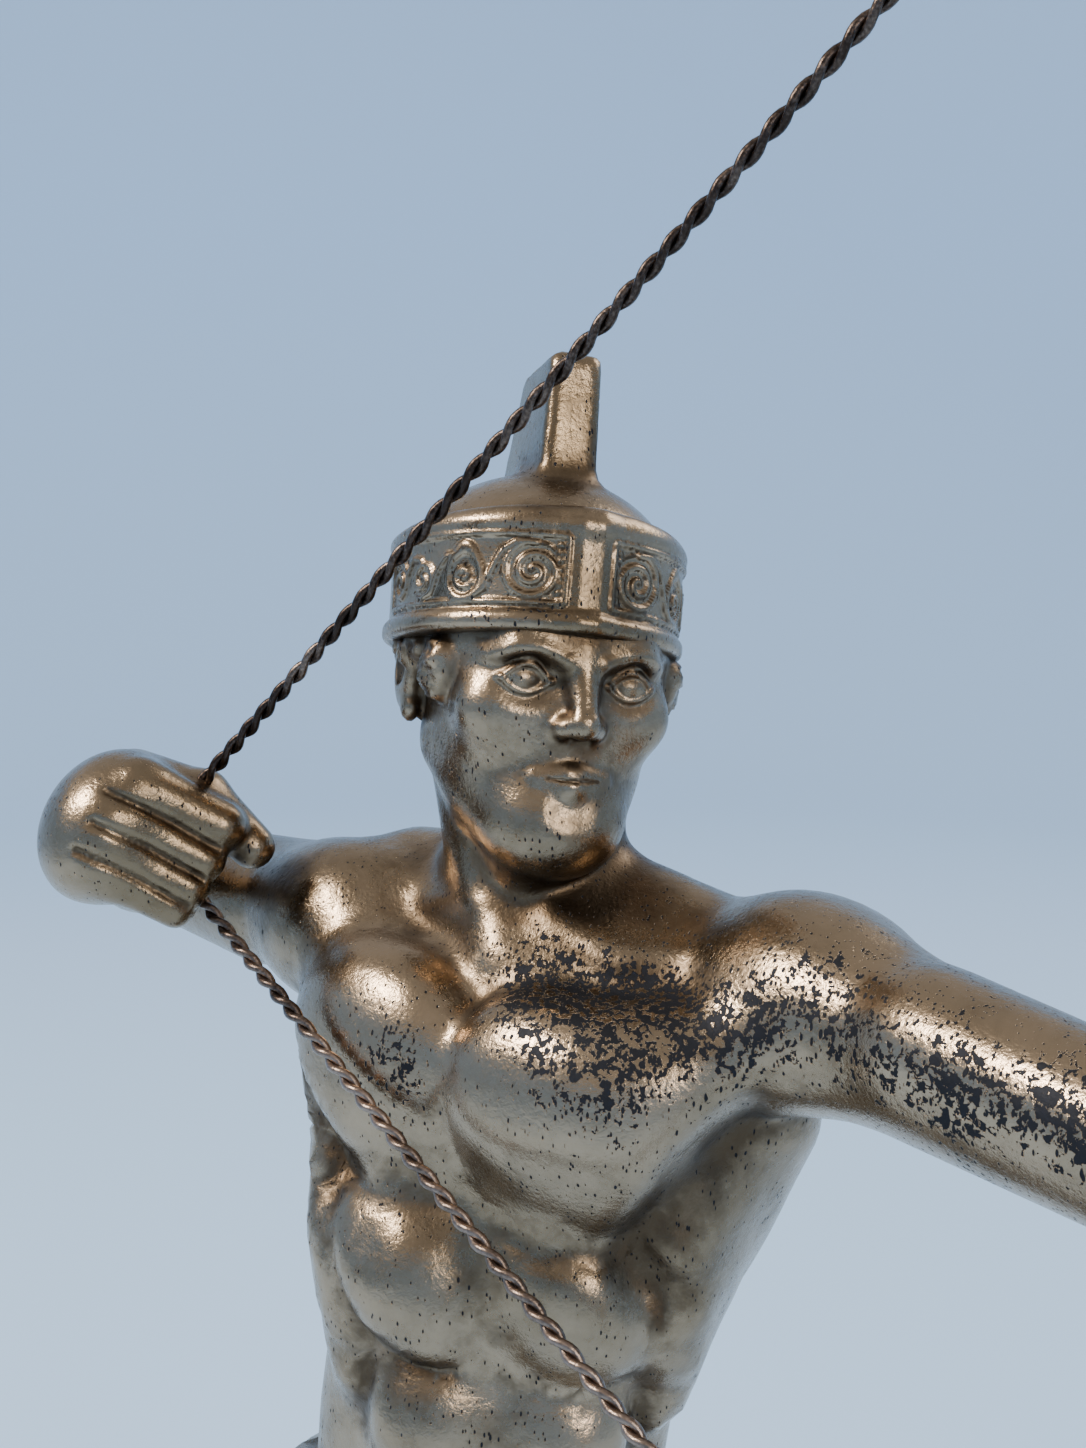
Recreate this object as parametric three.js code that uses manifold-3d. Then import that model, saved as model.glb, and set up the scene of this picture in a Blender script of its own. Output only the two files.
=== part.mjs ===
// A cast metal statuette of a helmeted archer drawing a bow, on a low plinth.
// Millimetres, +Z up. The chest looks along -Y and the bow is held out along +X.
import * as THREE from 'three';
import { mergeVertices } from 'three/addons/utils/BufferGeometryUtils.js';
import { MarchingCubes } from 'three/addons/objects/MarchingCubes.js';
import Module from 'manifold-3d';

// Driving sizes. The figure is planned in centimetres of a full-size man and cast at
// MM_PER_LIFE_CM, with its soles on the top of the plinth.
const MM_PER_LIFE_CM = 2.25;
const PLINTH_HEIGHT = 20;
const PLINTH_HALF_X = 96;
const PLINTH_HALF_Y = 52;
const PLINTH_CORNER = 16;
const FIT_GAP = 0.3;

const WIRE_RADIUS = 1.1;
const BOW_WIDTH = 5.4;
const BOW_GRIP_DEPTH = 6.6;
const BOW_TIP_DEPTH = 2.6;
const BOW_BEVEL = 0.8;

// Joints of the figure, in life centimetres above the top of the plinth.
const HEAD = [0, 0, 165];
const CHEST = [1.8, -3, 135];
const PELVIS = [-1.5, -6, 96];
const SHOULDER_R = [-11.6, -4.2, 146.4];
const ELBOW_R = [-41, 0.4, 144.8];
const WRIST_R = [-26.9, -13.8, 153.2];
const SHOULDER_L = [18, 0.6, 147];
const ELBOW_L = [47.5, -8, 146.2];
const WRIST_L = [70.5, -8.6, 155];
const HIP_L = [7.6, -4.6, 91];
const KNEE_L = [19.5, -9, 51];
const ANKLE_L = [25.5, -3.6, 9];
const HIP_R = [-10.6, -7.4, 91];
const KNEE_R = [-21.5, -9.5, 51];
const ANKLE_R = [-32, -2.6, 9];
// Which way the backs of the head and the hips look, and how far the waist turns.
const HEAD_BACK = [-0.82, 0.57, 0];
const PELVIS_BACK = [-0.58, 0.81, 0];
const WAIST_TURN = { degrees: 34, from: 5, to: -11 };
const GRIP_R = [-21.9, -12.9, 152.2];
const GRIP_L = [77, -14.2, 157];
const STRING_UP = [0.72, 0.107, 0.686];
const STRING_DOWN = [0.887, -0.1, -0.45];
const STRING_UP_LENGTH = 76;
const STRING_DOWN_LENGTH = 66;

const COLOURS = { silver: 0x9c948a, wire: 0x4a3a30, bow: 0x6d6154, base: 0x5c544b };

const vec = (p) => new THREE.Vector3(...p);
const toPart = (p) => vec(p).multiplyScalar(MM_PER_LIFE_CM).add(new THREE.Vector3(0, 0, PLINTH_HEIGHT));

// Smooth distance forms. Each is a function of a point that is negative inside.
const clamp01 = (t) => Math.min(1, Math.max(0, t));
const blend = (a, b, soft) => {
  const h = Math.max(soft - Math.abs(a - b), 0) / soft;
  return Math.min(a, b) - h * h * soft * 0.25;
};
const carve = (a, b, soft) => -blend(-a, b, soft);

function limb(a, b, ra, rb) {
  const [dx, dy, dz] = [b[0] - a[0], b[1] - a[1], b[2] - a[2]];
  const length2 = dx * dx + dy * dy + dz * dz;
  return (x, y, z) => {
    const [px, py, pz] = [x - a[0], y - a[1], z - a[2]];
    const t = clamp01((px * dx + py * dy + pz * dz) / length2);
    return Math.hypot(px - t * dx, py - t * dy, pz - t * dz) - (ra + (rb - ra) * t);
  };
}

function egg(c, r, turn = [0, 0, 0]) {
  const m = new THREE.Matrix4().makeRotationFromEuler(new THREE.Euler(
    ...turn.map(THREE.MathUtils.degToRad))).invert().elements;
  return (x, y, z) => {
    const [px, py, pz] = [x - c[0], y - c[1], z - c[2]];
    const qx = (m[0] * px + m[4] * py + m[8] * pz) / r[0];
    const qy = (m[1] * px + m[5] * py + m[9] * pz) / r[1];
    const qz = (m[2] * px + m[6] * py + m[10] * pz) / r[2];
    const k0 = Math.hypot(qx, qy, qz);
    const k1 = Math.hypot(qx / r[0], qy / r[1], qz / r[2]);
    return k1 < 1e-9 ? -Math.min(...r) : (k0 * (k0 - 1)) / k1;
  };
}

function block(c, half, round, turn = [0, 0, 0]) {
  const m = new THREE.Matrix4().makeRotationFromEuler(new THREE.Euler(
    ...turn.map(THREE.MathUtils.degToRad))).invert().elements;
  return (x, y, z) => {
    const [px, py, pz] = [x - c[0], y - c[1], z - c[2]];
    const qx = Math.abs(m[0] * px + m[4] * py + m[8] * pz) - half[0] + round;
    const qy = Math.abs(m[1] * px + m[5] * py + m[9] * pz) - half[1] + round;
    const qz = Math.abs(m[2] * px + m[6] * py + m[10] * pz) - half[2] + round;
    const outside = Math.hypot(Math.max(qx, 0), Math.max(qy, 0), Math.max(qz, 0));
    return outside + Math.min(Math.max(qx, qy, qz), 0) - round;
  };
}

// A sculpted mass in its own axes: forms added and carved one after another.
class Mass {
  constructor(origin, up, back, reach, soft, size = 1) {
    this.origin = vec(origin);
    this.size = size;
    this.z = vec(up).normalize();
    this.x = vec(back).cross(this.z).normalize();
    this.y = this.z.clone().cross(this.x);
    this.reach = reach;
    this.soft = soft;
    this.steps = [];
    this.twist = () => 0;
  }

  // Twists the mass about its z axis: not at all at `from`, by all the degrees at `to`.
  turned({ degrees, from, to }) {
    this.twist = (z) => THREE.MathUtils.degToRad(degrees) * clamp01((from - z) / (from - to));
    return this;
  }

  add(form, soft = 1.5) {
    this.steps.push([form, soft, false]);
    return this;
  }

  cut(form, soft = 0.8) {
    this.steps.push([form, soft, true]);
    return this;
  }

  both(maker, soft = 1.5) {
    return this.add(maker(1), soft).add(maker(-1), soft);
  }

  cutBoth(maker, soft = 0.8) {
    return this.cut(maker(1), soft).cut(maker(-1), soft);
  }

  at(px, py, pz) {
    const [dx, dy, dz] = [px - this.origin.x, py - this.origin.y, pz - this.origin.z];
    const far = Math.hypot(dx, dy, dz) - this.reach;
    if (far > 4) return far;
    const u = (dx * this.x.x + dy * this.x.y + dz * this.x.z) / this.size;
    const v = (dx * this.y.x + dy * this.y.y + dz * this.y.z) / this.size;
    const z = (dx * this.z.x + dy * this.z.y + dz * this.z.z) / this.size;
    const [c, s] = [Math.cos(this.twist(z)), Math.sin(this.twist(z))];
    const [x, y] = [u * c + v * s, v * c - u * s];
    let d = 1e3;
    for (const [form, soft, cutting] of this.steps) {
      d = cutting ? carve(d, form(x, y, z), soft) : blend(d, form(x, y, z), soft);
    }
    return d * this.size;
  }
}

function chestMass() {
  const mass = new Mass(CHEST, [0.06, 0.13, 0.99], [-0.06, 0.99, 0], 36, 2.2).turned(WAIST_TURN);
  mass.add(egg([1.2, 0.6, 0], [13.2, 10.2, 16.5]))
    .add(limb([-7.4, 1.2, 9.5], [9, 1.2, 9.5], 6.4, 6.4), 4)
    .both((s) => limb([s * 2.6, 2.6, 15.5], [s * 13, 2.2, 13.5], 2.6, 3.3), 3)
    .add(egg([16.6, 3, 13.5], [5.4, 5, 4.7]), 3)
    .add(limb([12.6, 3.4, 5], [7.4, 2.4, -17], 4, 2.6), 3)
    .add(limb([-9.8, 3.4, 5], [-7.6, 2.4, -17], 3.7, 2.6), 3)
    .both((s) => egg([s * 8.6, 8.2, 4.5], [5.2, 3, 8], [0, s * 14, 0]), 3)
    .add(egg([-0.6, -1.4, -18], [9, 8, 15]), 4)
    .both((s) => limb([s * 7.4, -1, -12], [s * 7.4, -1, -24], 2.8, 3.2), 3)
    .both((s) => egg([s * 6.8, -7.2, 5.4], [8, 4.2, 6.6], [0, s * 14, s * 14]), 1.6)
    .add(limb([8.6, -6.6, 7.4], [15.6, -2.2, 11.4], 3.8, 3.4), 2.5)
    .add(limb([-7.4, -6.4, 7.4], [-11.2, -2.6, 10.4], 3.4, 3), 2.5)
    .both((s) => egg([s * 4.5, -7.4, -5.6], [5, 3.8, 5.6], [0, s * 8, 0]), 1.5)
    .both((s) => egg([s * 3.7, -7, -14.6], [4.1, 3.4, 4.6]), 1.4)
    .both((s) => egg([s * 3.2, -6.2, -23], [3.6, 3.2, 5.6]), 1.4)
    .both((s) => egg([s * 9.4, -3.2, -7.4], [2.4, 4.6, 6], [0, s * 12, 0]), 2.4)
    .cut(limb([18.2, -5.6, 6.6], [10.8, -8.4, -3.2], 2.6, 2.2), 1.8)
    .cut(limb([-13.4, -8.6, 2.4], [-7, -11.6, -3.4], 1.2, 1.1), 2.4)
    .cut(limb([0, -12.6, 9], [0, -13.2, -3], 0.8, 0.8), 2)
    .cut(limb([0, -12.9, -4], [0, -11.8, -26], 0.8, 0.8), 2)
    .both((s) => limb([s * 3.3, 7.4, -24], [s * 3.4, 9.2, 6], 3, 2.8), 2.4)
    .cut(limb([0, 11.6, -24], [0, 13, 10], 1.2, 1.4), 2.2);
  for (const row of [0, 1, 2, 3]) {
    mass.both((s) => limb([s * (11 - 0.7 * row) + 0.4, -6 + 0.3 * row, -1.6 - 3.8 * row],
      [s * (12.3 - 0.8 * row) + 0.4, -1.6, 1.2 - 3.8 * row], 1.1, 1.2), 2.6);
  }
  return mass;
}

function neckMass() {
  return new Mass([0.4, -1.4, 150], [-0.02, 0.04, 1], [-0.6, 0.8, 0], 16, 1.6)
    .add(limb([0.4, 0.8, -4], [-0.4, 1, 12], 5.8, 5.3))
    .both((s) => limb([s * 5, 2.4, 8], [s * 1.3, -5.4, -2.4], 1.6, 1.3), 1)
    .add(egg([0, -4.2, 3.6], [2.2, 2, 2.6]), 1.2);
}

// The head's own axes: x to the figure's left, y to the back, z to the crown.
function headMass() {
  return new Mass(HEAD, [0.04, 0.13, 0.99], HEAD_BACK, 24, 0.8)
    .add(egg([0, 1, 2], [8, 9.5, 8.4]))
    .add(egg([0, -2.6, -3.6], [6.1, 6.2, 8.3]), 2.4)
    .add(egg([0, -6.6, -9.4], [2.9, 2.5, 2.5]), 2.6)
    .both((s) => limb([s * 4.5, 0.8, -6.2], [s * 1.7, -5, -9.5], 1.8, 1.8), 3.2)
    .both((s) => egg([s * 4.1, -6, -3.2], [2, 1.7, 1.7]), 2)
    .add(limb([-3, -7.1, 0.9], [3, -7.1, 0.9], 1.3, 1.3), 1.8)
    .cutBoth((s) => egg([s * 3.1, -9.2, -1.2], [1.9, 1.5, 1.3]), 1.1)
    .both((s) => egg([s * 3.1, -7, -1.25], [1.35, 1.15, 1.05]), 0.3)
    .both((s) => limb([s * 1.5, -8.2, -0.1], [s * 4.6, -7.1, 0.2], 0.42, 0.34), 1)
    .add(limb([0, -8.4, 0.4], [0, -9.7, -3.1], 0.62, 0.78), 1)
    .add(egg([0, -9.7, -3.5], [0.9, 0.9, 0.8]), 0.5)
    .both((s) => egg([s * 0.95, -8.9, -3.75], [0.6, 0.8, 0.6]), 0.5)
    .add(limb([-1.5, -8.4, -6.2], [1.5, -8.4, -6.2], 0.5, 0.5), 0.6)
    .add(limb([-1.2, -8.3, -7.2], [1.2, -8.3, -7.2], 0.55, 0.55), 0.6)
    .cut(limb([-1.9, -9, -6.65], [1.9, -9, -6.65], 0.2, 0.2), 0.3)
    .add(egg([0, -7.6, -9.6], [1.9, 1.4, 1.5]), 2)
    .both((s) => egg([s * 7.6, 1.6, -1.8], [1, 2, 2.8], [12, 0, 0]), 0.6)
    .both((s) => egg([s * 6.3, -2.2, -1.2], [1.3, 2.5, 2.1], [0, 0, s * 14]), 0.6)
    .both((s) => egg([s * 6.9, 1.2, -0.4], [1.5, 3, 1.5]), 0.6)
    .add(egg([0, 6.2, -2.2], [6.4, 4.6, 4]), 0.8);
}

// The helmet: a low dome in a tall band with a flat ridge at its front and a roll along
// its lower edge, and an upright fin that tapers to its back.
const BAND_HALF = [8.6, 10.2];
const BAND_MIDDLE = 0.6;
const BAND_HEIGHT = 6.5;
const BAND_RISE = 0.7;
const BAND_RIDGE = 0.4;
const BAND_ROLL = 0.42;
const BAND_SHOULDER = 0.2;
const FIN = { top: 17.4, foot: 8.4, front: -4.9, back: 5.6, half: 1.75, taper: 4.2 };
function helmetMass() {
  const ridge = (x, y) => (y < 0 ? BAND_RIDGE * clamp01(1.5 - Math.abs(x) / 1.3) : 0);
  const oval = (x, y) => Math.hypot(x / BAND_HALF[0], (y - BAND_MIDDLE) / BAND_HALF[1]);
  const profile = (z) => BAND_ROLL * Math.exp(-(((z - 0.55) / 0.62) ** 4))
    + BAND_SHOULDER * Math.exp(-(((z - BAND_HEIGHT + 0.5) / 0.6) ** 2)) + 0.03 * z;
  const band = (x, y, z) => {
    const wall = (oval(x, y) - 1) * 9.3 - ridge(x, y) - profile(z);
    const top = BAND_HEIGHT + BAND_RISE * clamp01(-y / 9);
    return carve(carve(wall, top - z, 0.9), z, 0.5);
  };
  const fin = (x, y, z) => {
    const high = (z - FIN.foot) / (FIN.top - FIN.foot);
    const back = FIN.back - FIN.taper * high;
    const ends = Math.max(FIN.front - y, y - back, z - FIN.top, FIN.foot - 2 - z);
    return Math.max(Math.abs(x) - FIN.half + 0.2 * high, ends);
  };
  return new Mass([-0.5, -0.2, 164.8], [-0.097, 0.241, 0.965], HEAD_BACK, 26, 0.4)
    .add(egg([0, 0.6, 4.2], [8.3, 10, 6.6]))
    .cut(block([0, 0, -12], [20, 20, 12], 0.2), 0.3)
    .add(band, 0.25)
    .add(fin, 1);
}

function upperArm(mass, length, bulk) {
  return mass.add(limb([0, 0, 0], [0, 0, length], 4.5 * bulk, 3.5 * bulk))
    .add(egg([0, -0.2, 1.2], [5.3, 5.4, 6.6]), 2.6)
    .add(limb([0, -1.7 * bulk, 0.34 * length], [0, -1.4 * bulk, 0.76 * length], 3.1 * bulk, 2.4 * bulk), 1.6)
    .add(limb([0, 1.9 * bulk, 0.26 * length], [0, 1.2 * bulk, 0.72 * length], 3.1 * bulk, 2.3 * bulk), 1.6)
    .add(egg([0, 2.2, length], [1.9, 1.9, 2.2]), 1.6);
}

function foreArm(mass, length, thumb) {
  return mass.add(limb([0, 0, 0], [0, 0, length], 3.6, 2.5))
    .add(limb([thumb * 1.5, -0.6, -1], [thumb * 0.8, -0.3, 0.6 * length], 2.5, 1.7), 1.4)
    .add(limb([-thumb * 1.4, -0.4, 1], [-thumb * 0.6, -0.3, 0.62 * length], 2.6, 1.8), 1.4)
    .add(egg([0, 0, length], [2.9, 2.2, 2.4]), 1.2);
}

// A closed fist. Own axes: z to the knuckles, y to the back of the hand, and
// thumb is +1 where x points to the thumb.
const FINGERS = [[2.6, 1.2, 0], [0.5, 0.95, 0.3], [-1.25, 0.9, 0.15], [-2.75, 0.75, -0.25]];
function fistMass(mass, thumb) {
  mass.add(limb([0, 0, -2], [0, -0.4, 3], 2.5, 2.7))
    .add(block([0, -0.9, 4.6], [3.7, 2, 4.2], 1.5), 1.2)
    .add(egg([-0.2 * thumb, -0.1, 5.8], [4.5, 3.5, 4.4]), 1.4)
    .add(block([0.2 * thumb, -2.8, 6.8], [3.7, 3.4, 2.9], 1.5), 0.8);
  for (const [across, thick, reach] of FINGERS) {
    const x = thumb * across;
    mass.add(block([x, -2.5, 8.9 + reach], [thick * 0.98, 3.5, 1.1], 0.6), 0.5)
      .add(limb([x, -5.6, 9 + reach], [x, -6.2, 6], thick * 0.8, thick * 0.75), 0.4);
  }
  return mass.add(limb([thumb * 2.8, -0.8, 3.4], [thumb * 3.7, -4, 6.4], 1.9, 1.5), 1)
    .add(limb([thumb * 3.7, -4, 6.4], [thumb * 2.4, -7.6, 7.8], 1.5, 1.3), 0.5);
}

function pelvisMass() {
  return new Mass(PELVIS, [0.03, -0.02, 1], PELVIS_BACK, 30, 2.2)
    .add(egg([0, 0.6, 2], [15.6, 10.6, 10]))
    .both((s) => egg([s * 6.6, 6, -3.6], [7.4, 6, 7.6]), 2.4)
    .add(egg([0, -2, 11], [12.4, 8.4, 9]), 3)
    .both((s) => limb([s * 10.6, -3.4, 9.4], [s * 13, 1.4, 8], 2.2, 2.4), 2);
}

// A short cloth wound round the hips: a skirt that widens downwards, folded in
// flutes. Its rolled top edge is high at the figure's right and falls to its left,
// where two ends of the cloth hang down.
const SKIRT_TOP = 14;
const SKIRT_TILT = 4;
const SKIRT_HEM = -17;
const SKIRT_FLUTES = 15;
const SKIRT_ENDS = [[[9, -10.8, 9], [10.6, -13, -12], 2, 2.8], [[12, -8.6, 8], [14.6, -10.4, -15], 1.6, 2.2]];
function skirtMass() {
  const topAt = (x) => SKIRT_TOP - (SKIRT_TILT * x) / 13;
  const halfAt = (z) => {
    const down = clamp01((SKIRT_TOP + SKIRT_TILT - z) / (SKIRT_TOP + SKIRT_TILT - SKIRT_HEM));
    return [12.4 + 7 * down, 9.6 + 4.6 * down, down];
  };
  const skirt = (x, y, z) => {
    const [halfX, halfY, down] = halfAt(z);
    const round = Math.atan2(y, x);
    const flute = 0.75 * down * Math.cos(SKIRT_FLUTES * round + 2.4 * Math.sin(2 * round));
    const shell = (Math.hypot(x / halfX, y / halfY) - 1) * (halfX + halfY) * 0.5 - flute;
    const hem = SKIRT_HEM + 1.2 * Math.sin(2 * round + 0.6);
    return Math.max(shell, z - topAt(x), hem - z);
  };
  const edge = (x, y, z) => {
    const [halfX, halfY] = halfAt(topAt(x));
    const ring = (Math.hypot(x / halfX, y / halfY) - 1) * (halfX + halfY) * 0.5;
    return Math.hypot(ring, z - topAt(x)) - 1.1;
  };
  const mass = new Mass(PELVIS, [0.03, -0.02, 1], PELVIS_BACK, 34, 0.9)
    .add(skirt, 1)
    .add(edge, 1);
  SKIRT_ENDS.forEach((end) => mass.add(limb(...end), 1));
  return mass;
}

function thighMass(mass, length, side) {
  return mass.add(limb([0, 0, 0], [0, 0, length], 8.8, 5.5))
    .add(limb([0, -2, 0.2 * length], [0, -1.8, 0.72 * length], 6.4, 4.2), 2.5)
    .add(limb([0, 2, 0.15 * length], [0, 1.4, 0.7 * length], 5.8, 3.4), 2.5)
    .add(egg([-side * 2.2, -1.6, 0.84 * length], [2.8, 2.6, 4.4]), 1.8)
    .add(egg([side * 2.4, -1.4, 0.78 * length], [2.6, 2.6, 4.8]), 1.8)
    .add(egg([0, -3.2, length], [2.6, 2.3, 3]), 1.4);
}

function shankMass(mass, length) {
  return mass.add(limb([0, 0, 0], [0, 0, length], 5, 3.2))
    .both((s) => egg([s * 1.9, 2.4, 0.26 * length], [3.6, 3.6, 9]), 2)
    .add(limb([0, -2, 0.06 * length], [0, -1.2, 0.9 * length], 2.2, 1.9), 1.6)
    .both((s) => egg([s * 2.7, 0.2, length], [1.4, 1.6, 1.9]), 1)
    .add(limb([0, 2.6, 0.62 * length], [0, 2.8, length], 1.7, 1.4), 1.6);
}

// A bare foot. Own axes: y to the heel, so the toes point to -y, z up.
const TOES = [[-2.9, 1.35, -17.4], [-0.9, 1, -17.2], [0.7, 0.95, -16.4], [2.2, 0.9, -15.4], [3.5, 0.85, -14]];
function footMass(mass, side) {
  mass.add(limb([0, 0, 0], [0, 2.2, -4.6], 3.4, 3.5))
    .add(limb([0, 1, -3.4], [side * 0.4, -10.5, -6.6], 3.6, 2.4), 2)
    .add(egg([side * 0.4, -9.6, -7.2], [4.6, 6.2, 2.4]), 1.6)
    .add(egg([0, 3.4, -6.8], [3.2, 3.4, 2.6]), 1.4);
  for (const [across, thick, tip] of TOES) {
    const x = side * across;
    mass.add(limb([x * 0.9, -11.6, -7.4], [x, tip, -8], thick, thick * 0.95), 0.5);
  }
  return mass;
}

const between = (a, b) => b.map((v, i) => v - a[i]);
const spanOf = (a, b) => Math.hypot(...between(a, b));
const limbMass = (a, b, back, soft) => new Mass(a, between(a, b), back, spanOf(a, b) + 11, soft);

function figureMasses() {
  const armR = limbMass(SHOULDER_R, ELBOW_R, [0.1, 0.9, 0.4], 1.8);
  const armL = limbMass(SHOULDER_L, ELBOW_L, [0.2, 0.7, -0.7], 1.8);
  const foreR = limbMass(ELBOW_R, WRIST_R, [-0.2, -0.5, 0.8], 1.2);
  const foreL = limbMass(ELBOW_L, WRIST_L, [-0.1, 0.8, -0.5], 1.2);
  const handR = new Mass(WRIST_R, [0.878, -0.448, 0.156], [-0.457, -0.708, 0.523], 19, 0.8, 1.1);
  const handL = new Mass(WRIST_L, [0.97, -0.12, 0.2], [0.12, 0.99, 0.04], 17, 0.8);
  return [
    chestMass(), neckMass(), pelvisMass(),
    upperArm(armR, spanOf(SHOULDER_R, ELBOW_R), 1),
    upperArm(armL, spanOf(SHOULDER_L, ELBOW_L), 1.09),
    foreArm(foreR, spanOf(ELBOW_R, WRIST_R), 1),
    foreArm(foreL, spanOf(ELBOW_L, WRIST_L), -1),
    thighMass(limbMass(HIP_L, KNEE_L, [0, 1, 0], 2.2), spanOf(HIP_L, KNEE_L), 1),
    thighMass(limbMass(HIP_R, KNEE_R, [0, 1, 0], 2.2), spanOf(HIP_R, KNEE_R), -1),
    shankMass(limbMass(KNEE_L, ANKLE_L, [0, 1, 0], 1.6), spanOf(KNEE_L, ANKLE_L)),
    shankMass(limbMass(KNEE_R, ANKLE_R, [0, 1, 0], 1.6), spanOf(KNEE_R, ANKLE_R)),
    footMass(new Mass(ANKLE_L, [0, 0, 1], [-0.62, 0.78, 0], 24, 1.4), 1),
    footMass(new Mass(ANKLE_R, [0, 0, 1], [0.3, 0.95, 0], 24, 1.4), -1),
    headMass(), fistMass(handR, 1), fistMass(handL, -1), helmetMass(), skirtMass(),
  ];
}

// The skin of the figure is traced on a grid whose lines lie closer together at the
// head and hands. Each stop is a place and the spacing of the lines there.
const GRID_X = [[-56, 1.9], [-34, 1.15], [-12, 1.1], [10, 1.1], [30, 2], [58, 2], [68, 1.2], [90, 1.2]];
const GRID_Y = [[-34, 1.6], [-20, 1.15], [12, 1.15], [24, 1.6]];
const GRID_Z = [[-3.1, 1.6], [12, 2], [50, 2.8], [92, 2], [120, 1.4], [142, 1.05], [186, 1.05]];
const SKIN_SOFT = 2;
const LEAST_STEP = 0.07;
const MOST_TRIANGLES = 90000;
const SKIN_FACES = 7300;

function gridLine(stops) {
  const line = [stops[0][0]];
  const last = stops[stops.length - 1][0];
  while (line[line.length - 1] < last) {
    const p = line[line.length - 1];
    const i = Math.max(1, stops.findIndex(([place]) => place > p));
    const [[p0, s0], [p1, s1]] = [stops[i - 1], stops[i]];
    line.push(p + s0 + (s1 - s0) * clamp01((p - p0) / (p1 - p0)));
  }
  return line;
}

// One distance for the whole casting: the masses melt into each other, and the
// soles are flat where the figure stands on the plinth.
const HARD_MASSES = 5;
function figureDistance(masses, x, y, z) {
  const fleshCount = masses.length - HARD_MASSES;
  let d = 1e3;
  masses.forEach((mass, i) => {
    const own = mass.at(x, y, z);
    if (own - d > 4) return;
    d = blend(d, own, i < fleshCount ? SKIN_SOFT : mass.soft);
  });
  return Math.max(d, -z);
}

function traceSkin(distance) {
  const lines = [GRID_X, GRID_Y, GRID_Z].map(gridLine);
  const size = Math.max(...lines.map((line) => line.length)) + 4;
  const cubes = new MarchingCubes(size, new THREE.Material(), false, false, MOST_TRIANGLES);
  cubes.isolation = 0;
  cubes.field.fill(-1);
  lines[2].forEach((z, k) => lines[1].forEach((y, j) => lines[0].forEach((x, i) => {
    const d = distance(x, y, z);
    const kept = Math.abs(d) < LEAST_STEP ? (d < 0 ? -LEAST_STEP : LEAST_STEP) : d;
    cubes.field[((k + 2) * size + j + 2) * size + i + 2] = -kept;
  })));
  cubes.update();
  const place = (line, step) => {
    const i = Math.min(line.length - 2, Math.max(0, Math.floor(step)));
    return line[i] + (line[i + 1] - line[i]) * (step - i);
  };
  const seen = new Map();
  const points = [];
  const faces = [];
  for (let n = 0; n < cubes.count; n += 1) {
    const step = [0, 1, 2].map((a) => (cubes.positionArray[3 * n + a] + 1) * size * 0.5 - 2);
    const near = step.map(Math.round);
    const off = step.map((s, a) => Math.abs(s - near[a]));
    const along = off.indexOf(Math.max(...off));
    const key = near.map((v, a) => (a === along ? Math.floor(step[a]) : v)).join() + along;
    if (!seen.has(key)) {
      seen.set(key, points.length / 3);
      const spot = step.map((s, a) => place(lines[a], a === along ? s : near[a]));
      points.push(...toPart(spot).toArray());
    }
    faces.push(seen.get(key));
  }
  return closedGeometry(...thinned(points, faces, SKIN_FACES));
}

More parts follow.
